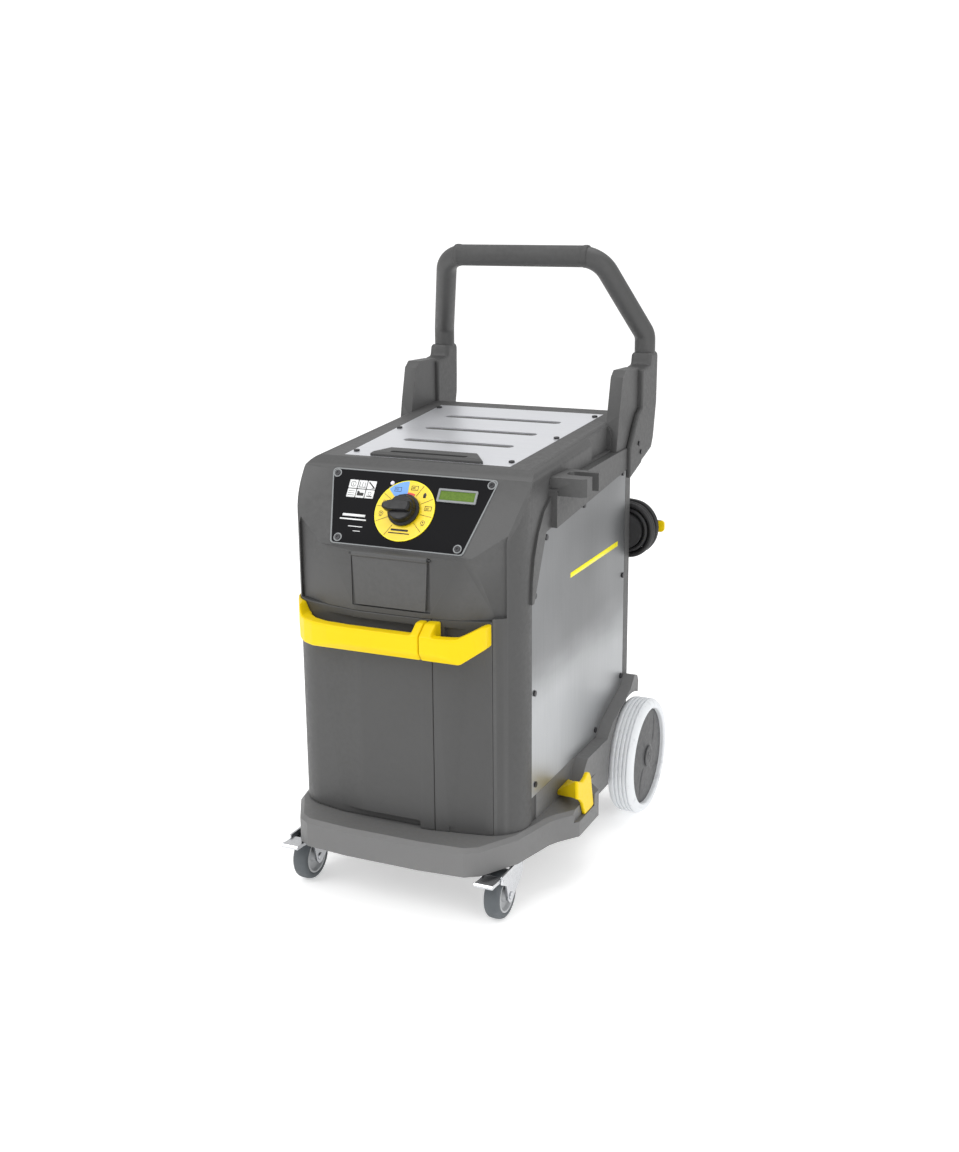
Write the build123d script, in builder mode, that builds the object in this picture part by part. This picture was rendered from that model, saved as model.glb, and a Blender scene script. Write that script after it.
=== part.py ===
from build123d import *
import os
from math import sin, cos, tan, radians, degrees, atan2, hypot, pi

os.makedirs("parts", exist_ok=True)

# ------------------------------------------------------------------ sizes (mm)
HALF_W = 188.0          # half width of the body
CH_Z0, CH_Z1 = 83.0, 127.0   # chassis underside and top
HOOD_Z = 458.0          # parting line between tanks and hood
FRONT_Y = -276.0        # front face of hood and tanks
BUMPER_Y = -322.0       # front of the bumper
REAR_Y = 240.0          # rear face of the body
WALL = 4.0
AXLE_Y, AXLE_Z, WHEEL_R, HUB_R = 199.0, 100.0, 100.0, 83.0
WHEEL_X0, WHEEL_X1 = 202.0, 247.5
CAST_X, CAST_Y, CAST_R, TRAIL = 164.0, -229.0, 37.5, 29.0
BAR_Z, BAR_Y, BAR_X = 946.4, 212.0, 137.0
LEG_X, LEG_Y = 188.5, 303.0
TUBE_R = 18.0
SEAM_X = 65.5           # joint between the two tanks
PILLAR_X = 153.0
COIL_X, COIL_Z, COIL_RI, COIL_RO = 177.5, 486.0, 31.0, 50.8
COIL_Y0, COIL_Y1 = 245.5, 285.0
CORD_D = 9.0
CORD_Y, PLUG_Y = 260.4, 270.0

# tilted planes
PS, PC = 0.5616, 0.8276                   # panel slope direction in (y, z)
PANEL = Plane(origin=(0, -252, 559), x_dir=(1, 0, 0), z_dir=(0, -PC, PS))
TS, TC = 0.06945, 0.99759
TOP = Plane(origin=(0, -131, 666), x_dir=(1, 0, 0), z_dir=(0, -TS, TC))


def slope(s):
    return (-252 + PS * s, 559 + PC * s)


def top_z(y):
    return 666 + (y + 131) * TS / TC


def plan_pts(inset):
    """Right-hand half of the body plan (front convex), mirrored."""
    w = HALF_W - inset
    f = FRONT_Y + inset
    v = -250 + inset * 0.85
    return [(-w, REAR_Y + 6), (-w, v), (-55, f), (55, f), (w, v), (w, REAR_Y + 6)]


def plan_face(inset=0.0):
    r = 62 - inset
    with BuildLine() as ln:
        FilletPolyline(*plan_pts(inset), radius=[0.5, r, 60, 60, r, 0.5], close=True)
    make_face(ln.edges())


def poly(*pts):
    with BuildLine() as ln:
        Polyline(*pts, close=True)
    make_face(ln.edges())


SIDE_SCREWS = [(199, 595), (18, 577), (-139, 560), (-183, 482), (-183, 332), (-180, 186),
               (81, 181), (205, 237), (207, 417)]
TOP_SCREWS = [(130, 0), (138, 158.4), (143, 316.8)]
EDGE = [(-193, 473), (-147, 570), (216, 607.5)]     # visible lower edge of the hood sides

# ------------------------------------------------------------------ chassis
base_pts = [(0, BUMPER_Y), (60, BUMPER_Y), (132, -316), (152, -303), (187, -243), (206, -166),
            (214, -150), (237, -118), (237, -32), (212, -6), (209, 30), (209, 88),
            (189, 88), (189, REAR_Y), (0, REAR_Y)]
full_pts = base_pts[1:-1] + [(-x, y) for x, y in reversed(base_pts[1:-1])]
inner_pts = [(52, -312), (126, -306), (140, -297), (172, -240), (190, -164), (200, -140), (226, -113),
             (226, -38), (204, -14), (198, 60), (181, 80), (181, 232)]
inner_full = inner_pts + [(-x, y) for x, y in reversed(inner_pts)]
with BuildPart() as chassis:
    with BuildSketch(Plane.XY.offset(CH_Z0)):
        poly(*full_pts)
    extrude(amount=CH_Z1 - CH_Z0)
    top_edges = chassis.faces().sort_by(Axis.Z)[-1].edges()
    front_e = [e for e in top_edges if e.center().Y < -100]
    chamfer(front_e, length=6)
    with BuildSketch(Plane.XY.offset(CH_Z0)):
        poly(*inner_full)
    extrude(amount=28, mode=Mode.SUBTRACT)
    for sx in (1, -1):
        with BuildSketch(Plane.XY.offset(92)):
            with Locations((sx * CAST_X, CAST_Y)):
                Circle(24)
        extrude(amount=20)
        # upright side wall with its flange
        with BuildSketch(Plane.YZ.offset(178 if sx > 0 else -188)):
            poly((-175 if sx < 0 else -175, 120), (-175, 168), (85, 168), (110, 188), (202, 219), (216, 226),
                 (REAR_Y, 226), (REAR_Y, 100), (120, 100), (88, 120))
        extrude(amount=10)
        with BuildSketch(Plane.YZ.offset(182 if sx > 0 else -186)):
            poly((-174, 160), (-174, 194), (74, 194), (100, 212), (194, 242), (194, 214), (110, 180), (85, 160))
        extrude(amount=4)
        with BuildSketch(Plane.YZ.offset(188 if sx > 0 else -209)):
            poly((-36, CH_Z0), (-36, 127), (-24, 152), (-8, 166), (84.5, 166), (110, 186), (202, 217.5), (212, 227), (222, 236),
                 (236, 232), (243, 220), (241, 200), (238, CH_Z0))
            with Locations((AXLE_Y, AXLE_Z)):
                Circle(108, mode=Mode.SUBTRACT)
            with Locations((AXLE_Y + 60, 60)):
                Rectangle(160, 100, mode=Mode.SUBTRACT)
            with Locations((AXLE_Y + 90, 120)):
                Rectangle(100, 120, mode=Mode.SUBTRACT)
        extrude(amount=21)
    # rear cross wall
    with BuildSketch(Plane.XY.offset(CH_Z1 - 2)):
        with Locations((0, REAR_Y - 2)):
            Rectangle(2 * 179, 4)
    extrude(amount=226 - CH_Z1 + 2)
    # axle bore through both side walls and the hidden saddles
    with BuildSketch(Plane.YZ.offset(-240)):
        with Locations((AXLE_Y, AXLE_Z)):
            Circle(8)
    extrude(amount=480, mode=Mode.SUBTRACT)
    # castor stem seats
    for sx in (1, -1):
        with BuildSketch(Plane.XY.offset(92)):
            with Locations((sx * CAST_X, CAST_Y)):
                Circle(6)
        extrude(amount=20, mode=Mode.SUBTRACT)
        with BuildSketch(Plane.XY.offset(CH_Z0 - 1)):
            with Locations((sx * CAST_X, CAST_Y)):
                Circle(22.5)
        extrude(amount=93 - CH_Z0, mode=Mode.SUBTRACT)
    # pocket behind the outer plate of the tube rest
    with BuildSketch(Plane.XY.offset(107.8)):
        with Locations((240, -89)):
            Rectangle(20.4, 74.6)
    extrude(amount=30, mode=Mode.SUBTRACT)
    for (y, z) in SIDE_SCREWS[5:8]:
        with BuildSketch(Plane.YZ.offset(-190)):
            with Locations((y, z)):
                Circle(2)
        extrude(amount=380, mode=Mode.SUBTRACT)
chassis.part.label = "chassis_base"
export_step(chassis.part, "parts/chassis_base.step")

# ------------------------------------------------------------------ hood
a, b = slope(-12), slope(112)
with BuildPart() as hood:
    with BuildSketch(Plane.YZ):
        poly((FRONT_Y, HOOD_Z), (FRONT_Y, 545), (a[0], a[1]), (b[0], b[1]), (-165, top_z(-165)), (REAR_Y, top_z(REAR_Y)),
             (REAR_Y, 609), EDGE[2], EDGE[1], EDGE[0], (-193, HOOD_Z))
    extrude(amount=HALF_W, both=True)
    with BuildSketch(Plane.XY.offset(400)):
        plan_face(0)
    extrude(amount=340, mode=Mode.INTERSECT)
    for sx in (1, -1):
        with BuildSketch(Plane.XY.offset(400)):
            poly(*[(sx * x, y) for x, y in ((107, -266.6), (170, -236.7), (170, -300), (107, -300))])
        extrude(amount=340, mode=Mode.SUBTRACT)
    es = [e for e in hood.edges() if abs(abs(e.center().X) - HALF_W) < 1.0 and abs(e.center().Z - 678) < 4 and e.length > 300]
    fillet(es, radius=16)
    # hollow
    with BuildPart(mode=Mode.PRIVATE) as core:
        with BuildSketch(Plane.YZ):
            poly((-265, 440), (-265, 538), (-252.5, 545), (-183.5, 645.5), (-162, 657.5), (REAR_Y - 4, top_z(REAR_Y) - 6.4),
                 (REAR_Y - 4, 606), (REAR_Y - 4, 440))
        extrude(amount=HALF_W - WALL, both=True)
        with BuildSketch(Plane.XY.offset(400)):
            plan_face(6)
        extrude(amount=340, mode=Mode.INTERSECT)
        for sx in (1, -1):
            with BuildSketch(Plane.XY.offset(400)):
                poly(*[(sx * x, y) for x, y in ((96, -263), (168, -229), (168, -300), (96, -300))])
            extrude(amount=340, mode=Mode.SUBTRACT)
    add(core.part, mode=Mode.SUBTRACT)
    for sx in (1, -1):
        # flange behind the steel side sheet
        with BuildSketch(Plane.YZ.offset(182 if sx > 0 else -186)):
            poly((-193, 462), (-193, 478), (-147, 576), (216, 612), (216, 588), (-133, 551), (-174, 478), (-174, 462))
        extrude(amount=4)
        # upright behind the front edge of the sheet
        with BuildSketch(Plane.XY.offset(CH_Z1)):
            with Locations((sx * 182, -183.75)):
                Rectangle(8, 17.5)
        extrude(amount=345)
        # outward rail above the sheet
        with BuildSketch(Plane.YZ.offset(187 if sx > 0 else -201)):
            poly((-128, 572.5), (183, 604.7), (183, 640), (150, 640), (-60, 634), (-128, 630))
        extrude(amount=14)
        # raised frame round the front corner of the sheet
        with BuildSketch(Plane.YZ.offset(187 if sx > 0 else -192)):
            poly((-120, 573.3), (-147, 570), (-193, 473), (-201, 473), (-199, 505), (-192, 540), (-177, 574), (-155, 602), (-120, 622))
        extrude(amount=5)
        # wall of the pocket above the rail
        with BuildSketch(Plane.YZ.offset(177 if sx > 0 else -183)):
            poly((46, 628), (46, top_z(46) - 4.6), (142, top_z(142) - 4.6), (142, 628))
        extrude(amount=6)
        with BuildSketch(Plane.YZ.offset(181 if sx > 0 else -201)):
            poly((50, 641), (50, 720), (138, 720), (138, 643))
        extrude(amount=20, mode=Mode.SUBTRACT)
        # ear in front of the handle leg
        with BuildSketch(Plane.YZ.offset(177 if sx > 0 else -198)):
            poly((138, 640), (150, 700), (165, 758), (178, 768), (REAR_Y, 766), (REAR_Y, 610), (183, 604.7), (138, 620))
        extrude(amount=21)
    # right-hand pillar beside the tanks
    with BuildPart(mode=Mode.PRIVATE) as pil:
        with BuildSketch(Plane.XY.offset(CH_Z1)):
            plan_face(0)
            with Locations((PILLAR_X - 250, 0)):
                Rectangle(500, 900, mode=Mode.SUBTRACT)
            with Locations((0, 107)):
                Rectangle(900, 600, mode=Mode.SUBTRACT)
        extrude(amount=HOOD_Z - CH_Z1 + 4)
        with BuildSketch(Plane.XY.offset(CH_Z1)):
            plan_face(4)
            with Locations((PILLAR_X + 4 - 250, 0)):
                Rectangle(500, 900, mode=Mode.SUBTRACT)
        extrude(amount=HOOD_Z - CH_Z1 - 2, mode=Mode.SUBTRACT)
    add(pil.part)
    # tube holder: front block, open slot, rear wall
    with BuildSketch(Plane.XY.offset(620)):
        poly((186, -125), (238, -125), (244, -119), (244, -98), (212, -98), (206, -96), (201.5, -91), (200, -84), (201.5, -77),
             (206, -72), (212, -70), (244, -70), (244, -64), (238, -58), (186, -52))
    extrude(amount=27)
    # seat of the top sheet and the vent opening below it
    with BuildSketch(TOP.offset(-2)):
        poly((-138.3, -24.3), (138.3, -24.3), (150.3, 339.3), (-150.3, 339.3))
    extrude(amount=40, mode=Mode.SUBTRACT)
    with BuildSketch(TOP.offset(-30)):
        for (hx, t) in ((104, 262), (98, 174), (94, 90)):
            with Locations((0, t - 5.5)):
                SlotOverall(2 * hx - 12, 5)
    extrude(amount=32, mode=Mode.SUBTRACT)
    # instrument panel seat and opening
    with BuildSketch(PANEL.offset(-2)):
        with BuildLine():
            FilletPolyline((-106.3, -8.3), (106.3, -8.3), (135.3, 108.3), (-135.3, 108.3), radius=[6, 6, 6, 6], close=True)
        make_face()
    extrude(amount=30, mode=Mode.SUBTRACT)
    with BuildSketch(PANEL.offset(-20)):
        with Locations((0, 50)):
            RectangleRounded(176, 80, 8)
    extrude(amount=22, mode=Mode.SUBTRACT)
    # flap seat, hinge groove, socket opening
    with BuildSketch(Plane.XZ.offset(-FRONT_Y - 3.5)):
        with Locations((0, 507)):
            Rectangle(128, 83)
    extrude(amount=20, mode=Mode.SUBTRACT)
    with BuildSketch(Plane.YZ.offset(-64)):
        with Locations((-275.5, 544)):
            Circle(5)
    extrude(amount=128, mode=Mode.SUBTRACT)
    with BuildSketch(Plane.XZ.offset(250)):
        with Locations((0, 503)):
            RectangleRounded(84, 50, 8)
    extrude(amount=30, mode=Mode.SUBTRACT)
    # pin seat
    with BuildSketch(Plane.YZ.offset(-67)):
        with Locations((-275.5, 544)):
            Circle(1.5)
    extrude(amount=134, mode=Mode.SUBTRACT)
    # screw holes
    for (y, z) in SIDE_SCREWS[:6]:
        with BuildSketch(Plane.YZ.offset(-192)):
            with Locations((y, z)):
                Circle(2)
        extrude(amount=384, mode=Mode.SUBTRACT)
    with BuildSketch(TOP.offset(-8)):
        for (x, t) in TOP_SCREWS:
            with Locations((x, t), (-x, t)):
                Circle(2)
    extrude(amount=10, mode=Mode.SUBTRACT)
    with BuildSketch(PANEL.offset(-5)):
        with Locations((127, 101.5), (-127, 101.5), (98, 0), (-98, 0)):
            Circle(2)
    extrude(amount=8, mode=Mode.SUBTRACT)
    for sx in (1, -1):
        with BuildSketch(Plane.YZ.offset(188 if sx > 0 else -200)):
            with Locations((225, 642), (236, 626)):
                Circle(2.5)
        extrude(amount=12, mode=Mode.SUBTRACT)
hood.part.label = "front_housing"
export_step(hood.part, "parts/front_housing.step")

# ------------------------------------------------------------------ rear panel and side sheets
with BuildPart() as rear:
    with BuildSketch(Plane.XY.offset(226)):
        with Locations((0, REAR_Y - 2)):
            Rectangle(2 * HALF_W, 4)
        for sx in (1, -1):
            with Locations((sx * 186, 228.5)):
                Rectangle(4, 23)
            with Locations((sx * 184, 207)):
                Rectangle(4, 22)
            with Locations((sx * 184.5, 217.5)):
                Rectangle(5, 3)
    extrude(amount=607 - 226)
    with BuildSketch(Plane.YZ.offset(-190)):
        with BuildLine():
            Polyline((190, 200), (216, 200), (216, 226), (202, 245.5), (190, 245.5), close=True)
        make_face()
        with BuildLine():
            Polyline((190, 584), (217, 586), (217, 612), (190, 612), close=True)
        make_face()
    extrude(amount=380, mode=Mode.SUBTRACT)
    with BuildSketch(Plane.YZ.offset(-190)):
        with Locations(SIDE_SCREWS[8]):
            Circle(2)
    extrude(amount=380, mode=Mode.SUBTRACT)
rear.part.label = "rear_panel"
export_step(rear.part, "parts/rear_panel.step")

sheet_pts = [(-192.6, 168.4), (-192.6, 472.8), (-146.7, 569.4), (215.6, 606.8), (215.6, 226.6), (202, 219.6),
             (110, 188.6), (84.8, 168.4)]
for side, sx in (("right", 1), ("left", -1)):
    with BuildPart() as sheet:
        with BuildSketch(Plane.YZ.offset(186 if sx > 0 else -188)):
            poly(*sheet_pts)
            with Locations(*SIDE_SCREWS):
                Circle(2, mode=Mode.SUBTRACT)
        extrude(amount=2)
    sheet.part.label = "side_panel_" + side
    export_step(sheet.part, "parts/side_panel_" + side + ".step")

with BuildPart() as topplate:
    with BuildSketch(TOP.offset(-2)):
        poly((-138, -24), (138, -24), (150, 339), (-150, 339))
        for (hx, t) in ((104, 262), (98, 174), (94, 90)):
            with Locations((0, t)):
                SlotOverall(2 * hx, 17, mode=Mode.SUBTRACT)
        for (x, t) in TOP_SCREWS:
            with Locations((x, t), (-x, t)):
                Circle(2, mode=Mode.SUBTRACT)
    extrude(amount=2)
topplate.part.label = "top_cover_plate"
export_step(topplate.part, "parts/top_cover_plate.step")

with BuildPart() as cscrew:
    for (y, z) in SIDE_SCREWS:
        for sx in (1, -1):
            with BuildSketch(Plane.YZ.offset(188 if sx > 0 else -190.4)):
                with Locations((y, z)):
                    Circle(4.6)
            extrude(amount=2.4)
            with BuildSketch(Plane.YZ.offset(182 if sx > 0 else -188)):
                with Locations((y, z)):
                    Circle(2)
            extrude(amount=6)
    for (x, t) in TOP_SCREWS:
        for sx in (1, -1):
            with BuildSketch(TOP):
                with Locations((sx * x, t)):
                    Circle(4.6)
            extrude(amount=2.4)
            with BuildSketch(TOP.offset(-4)):
                with Locations((sx * x, t)):
                    Circle(2)
            extrude(amount=4)
cscrew.part.label = "cover_screws"
export_step(cscrew.part, "parts/cover_screws.step")

with BuildPart() as grip:
    with BuildSketch(TOP):
        poly((-95, -22), (94, -22), (70, 14), (-77, 14))
    extrude(amount=7)
    chamfer([e for e in grip.faces().sort_by(Axis.Z)[-1].edges()], length=3)
    with BuildSketch(TOP.offset(1.5)):
        with Locations((0, -12)):
            SlotOverall(128, 9)
    extrude(amount=12, mode=Mode.SUBTRACT)
grip.part.label = "carry_grip"
export_step(grip.part, "parts/carry_grip.step")

# ------------------------------------------------------------------ instrument panel
with BuildPart() as panel:
    with BuildSketch(PANEL.offset(-2)):
        with BuildLine():
            FilletPolyline((-106, -8), (106, -8), (135, 108), (-135, 108), radius=[6, 6, 6, 6], close=True)
        make_face()
        with Locations((127, 101.5), (-127, 101.5), (98, 0), (-98, 0)):
            Circle(2, mode=Mode.SUBTRACT)
        with Locations((0, 50)):
            Circle(3.4, mode=Mode.SUBTRACT)
    extrude(amount=2.6)
panel.part.label = "control_panel_plate"
export_step(panel.part, "parts/control_panel_plate.step")

with BuildPart() as pscrew:
    for (x, s) in ((127, 101.5), (-127, 101.5), (98, 0), (-98, 0)):
        with BuildSketch(PANEL.offset(0.6)):
            with Locations((x, s)):
                Circle(4.6)
        extrude(amount=2)
        with BuildSketch(PANEL.offset(-3.4)):
            with Locations((x, s)):
                Circle(2)
        extrude(amount=4)
        with BuildSketch(PANEL.offset(1.4)):
            with Locations((x, s)):
                RegularPolygon(1.7, 6)
        extrude(amount=1.5, mode=Mode.SUBTRACT)
pscrew.part.label = "panel_screws"
export_step(pscrew.part, "parts/panel_screws.step")

with BuildPart() as dial:
    with BuildSketch(PANEL.offset(0.6)):
        with Locations((0, 50)):
            Circle(48)
            Circle(3.4, mode=Mode.SUBTRACT)
    extrude(amount=1.4)
dial.part.label = "dial_disc"
export_step(dial.part, "parts/dial_disc.step")

with BuildPart() as knob:
    with BuildSketch(PANEL.offset(2.4)):
        with Locations((0, 50)):
            Circle(24)
    extrude(amount=6)
    with BuildSketch(PANEL.offset(8.4)):
        with Locations((0, 50)):
            Circle(22)
    extrude(amount=9)
    with BuildSketch(PANEL.offset(17.4)):
        with Locations((0, 50)):
            RectangleRounded(42, 13, 5)
    extrude(amount=8)
    with BuildSketch(PANEL.offset(-12)):
        with Locations((0, 50)):
            Circle(3)
    extrude(amount=15)
knob.part.label = "selector_knob"
export_step(knob.part, "parts/selector_knob.step")

with BuildPart() as dframe:
    with BuildSketch(PANEL.offset(0.6)):
        with Locations((78, 79.5)):
            RectangleRounded(63, 21, 2)
            Rectangle(56, 14.5, mode=Mode.SUBTRACT)
    extrude(amount=2.2)
dframe.part.label = "display_frame"
export_step(dframe.part, "parts/display_frame.step")

with BuildPart() as dwin:
    with BuildSketch(PANEL.offset(0.6)):
        with Locations((78, 79.5)):
            Rectangle(56, 14.5)
    extrude(amount=1.2)
dwin.part.label = "display_window"
export_step(dwin.part, "parts/display_window.step")

with BuildPart() as led:
    with BuildSketch(PANEL.offset(0.6)):
        with Locations((-31, 92)):
            Circle(3.3)
    extrude(amount=2.6)
    fillet(led.faces().sort_by(Axis((0, 0, 0), (0, -PC, PS)))[-1].edges(), radius=1.6)
led.part.label = "status_led"
export_step(led.part, "parts/status_led.step")

# ------------------------------------------------------------------ socket flap
with BuildPart() as flap:
    with BuildSketch(Plane.XZ.offset(-FRONT_Y - 3)):
        poly((-61, 540), (61, 540), (57, 468), (-57, 468))
    extrude(amount=4)
    with BuildSketch(Plane.YZ.offset(-61)):
        with Locations((-275.5, 544)):
            Circle(4.2)
    extrude(amount=122)
    with BuildSketch(Plane.YZ.offset(-62)):
        with Locations((-275.5, 544)):
            Circle(1.55)
    extrude(amount=124, mode=Mode.SUBTRACT)
flap.part.label = "socket_flap"
export_step(flap.part, "parts/socket_flap.step")

with BuildPart() as fpin:
    with BuildSketch(Plane.YZ.offset(-66.5)):
        with Locations((-275.5, 544)):
            Circle(1.5)
    extrude(amount=133)
fpin.part.label = "flap_hinge_pin"
export_step(fpin.part, "parts/flap_hinge_pin.step")

with BuildPart() as socket:
    with BuildSketch(Plane.XZ.offset(235)):
        with Locations((0, 503)):
            RectangleRounded(84, 50, 8)
    extrude(amount=36)
    with BuildSketch(Plane.XZ.offset(232)):
        with Locations((-16, 503)):
            Circle(17)
        with Locations((24, 503)):
            Circle(9)
    extrude(amount=50, mode=Mode.SUBTRACT)
    with BuildSketch(Plane.XZ.offset(235)):
        with Locations((0, 503)):
            RectangleRounded(96, 62, 8)
            RectangleRounded(83, 49, 8, mode=Mode.SUBTRACT)
    extrude(amount=30)
socket.part.label = "hose_socket"
export_step(socket.part, "parts/hose_socket.step")

# ------------------------------------------------------------------ push handle
with BuildPart() as handle:
    with BuildLine() as hp:
        FilletPolyline((LEG_X, LEG_Y, 786), (LEG_X, LEG_Y, 814), (BAR_X, BAR_Y, BAR_Z), (-BAR_X, BAR_Y, BAR_Z),
                       (-LEG_X, LEG_Y, 814), (-LEG_X, LEG_Y, 786), radius=[24, 44, 44, 24])
    with BuildSketch(Plane.XY.offset(786)):
        with Locations((LEG_X, LEG_Y)):
            Circle(TUBE_R)
    sweep(path=hp.wires()[0])
    for sx in (1, -1):
        with BuildSketch(Plane.XY.offset(716)):
            with Locations((sx * LEG_X, LEG_Y)):
                Circle(10)
        extrude(amount=72)
handle.part.label = "push_handle_tube"
export_step(handle.part, "parts/push_handle_tube.step")

with BuildPart() as sleeve:
    with BuildSketch(Plane.YZ.offset(-96)):
        with Locations((BAR_Y, BAR_Z)):
            Circle(TUBE_R + 0.6)
            Circle(TUBE_R, mode=Mode.SUBTRACT)
    extrude(amount=192)
sleeve.part.label = "handle_grip_sleeve"
export_step(sleeve.part, "parts/handle_grip_sleeve.step")

for side, sx in (("right", 1), ("left", -1)):
    with BuildPart() as foot:
        with BuildSketch(Plane.YZ.offset(171 if sx > 0 else -207)):
            poly((240.5, 606), (296, 622), (306, 640), (320, 700), (322, 780), (318, 786), (282, 786), (277, 766),
                 (240.5, 762))
        extrude(amount=36)
        with BuildSketch(Plane.YZ.offset(198.3 if sx > 0 else -207)):
            poly((184, 589), (242, 606.4), (242, 700), (222, 690), (184, 640))
        extrude(amount=8.7)
        es = [e for e in foot.edges() if abs(abs(e.center().X) - 207) < 0.1 or abs(abs(e.center().X) - 171) < 0.1]
        es = [e for e in es if e.center().Y > 262]
        chamfer(es, length=4)
        with BuildSketch(Plane.XY.offset(715)):
            with Locations((sx * LEG_X, LEG_Y)):
                Circle(10)
        extrude(amount=80, mode=Mode.SUBTRACT)
        with BuildSketch(Plane.YZ.offset(196 if sx > 0 else -212)):
            with Locations((225, 642), (236, 626)):
                Circle(2.5)
        extrude(amount=16, mode=Mode.SUBTRACT)
    foot.part.label = "handle_foot_" + side
    export_step(foot.part, "parts/handle_foot_" + side + ".step")

with BuildPart() as hscrew:
    for sx in (1, -1):
        for (y, z) in ((225, 642), (236, 626)):
            with BuildSketch(Plane.YZ.offset(207 if sx > 0 else -209)):
                with Locations((y, z)):
                    Circle(4)
            extrude(amount=2)
            with BuildSketch(Plane.YZ.offset(189 if sx > 0 else -207)):
                with Locations((y, z)):
                    Circle(2.5)
            extrude(amount=18)
hscrew.part.label = "handle_screws"
export_step(hscrew.part, "parts/handle_screws.step")

# ------------------------------------------------------------------ lower tube rest
with BuildPart() as rest:
    with BuildSketch(Plane.YZ.offset(230)):
        poly((-125, 177), (-104, 168), (-92, 170), (-81, 175), (-72, 172), (-65, 163), (-52, 110), (-58, 108), (-90, 108),
             (-94, 116), (-101, 131), (-112, 141), (-122, 146))
    extrude(amount=6)
    with BuildSketch(Plane.YZ.offset(188)):
        poly((-89, 132), (-89, 140), (-41, 141), (-41, 133))
    with BuildSketch(Plane.YZ.offset(231)):
        poly((-121, 146), (-124.5, 176), (-119, 174), (-115.5, 144))
    loft(ruled=True)
rest_box = rest.part.bounding_box()
rest.part.label = "tube_rest"

# ------------------------------------------------------------------ rear wheels
with BuildPart() as axle:
    with BuildSketch(Plane.YZ.offset(-240)):
        with Locations((AXLE_Y, AXLE_Z)):
            Circle(8)
    extrude(amount=480)
axle.part.label = "rear_axle"
export_step(axle.part, "parts/rear_axle.step")

WPL = Plane(origin=(0, AXLE_Y, AXLE_Z), x_dir=(1, 0, 0), z_dir=(0, -1, 0))
for side, sx in (("right", 1), ("left", -1)):
    with BuildPart() as tyre:
        with BuildSketch(WPL):
            p = [(202, HUB_R), (247, HUB_R), (247.5, 90), (246, 96), (241, 99.2), (236, WHEEL_R), (233.5, WHEEL_R), (233, 98.2),
                 (231, 98.2), (230.5, WHEEL_R), (226.5, WHEEL_R), (226, 98.2), (224, 98.2), (223.5, WHEEL_R), (219, WHEEL_R),
                 (218.5, 98.2), (216.5, 98.2), (216, WHEEL_R), (212, WHEEL_R), (207, 99), (203, 95.5), (202, 90)]
            poly(*[(sx * x, r) for x, r in p])
        revolve(axis=Axis((0, AXLE_Y, AXLE_Z), (1, 0, 0)))
    tyre.part.label = "tyre_" + side
    export_step(tyre.part, "parts/tyre_" + side + ".step")
    with BuildPart() as hub:
        with BuildSketch(WPL):
            p = [(204, 8.05), (204, 22), (214, 24), (220, 70), (206, 76), (206, HUB_R), (239, HUB_R), (240, 80),
                 (241.5, 60), (242.5, 40), (242.8, 24), (240, 22), (240, 8.05)]
            poly(*[(sx * x, r) for x, r in p])
        revolve(axis=Axis((0, AXLE_Y, AXLE_Z), (1, 0, 0)))
    hub.part.label = "wheel_hub_" + side
    export_step(hub.part, "parts/wheel_hub_" + side + ".step")
    with BuildPart() as cap:
        with BuildSketch(WPL):
            p = [(240.3, 0), (240.3, 7), (240, 8.6), (240, 21), (244, 19), (245.4, 10), (245.8, 0)]
            poly(*[(sx * x, r) for x, r in p])
        revolve(axis=Axis((0, AXLE_Y, AXLE_Z), (1, 0, 0)))
    cap.part.label = "hub_cap_" + side
    export_step(cap.part, "parts/hub_cap_" + side + ".step")

# ------------------------------------------------------------------ castors
with BuildPart() as cmount:
    for sx in (1, -1):
        with BuildSketch(Plane.XY.offset(84)):
            with Locations((sx * CAST_X, CAST_Y)):
                Circle(19)
                Circle(5.05, mode=Mode.SUBTRACT)
        extrude(amount=8)
cmount.part.label = "castor_mounts"
export_step(cmount.part, "parts/castor_mounts.step")

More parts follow.
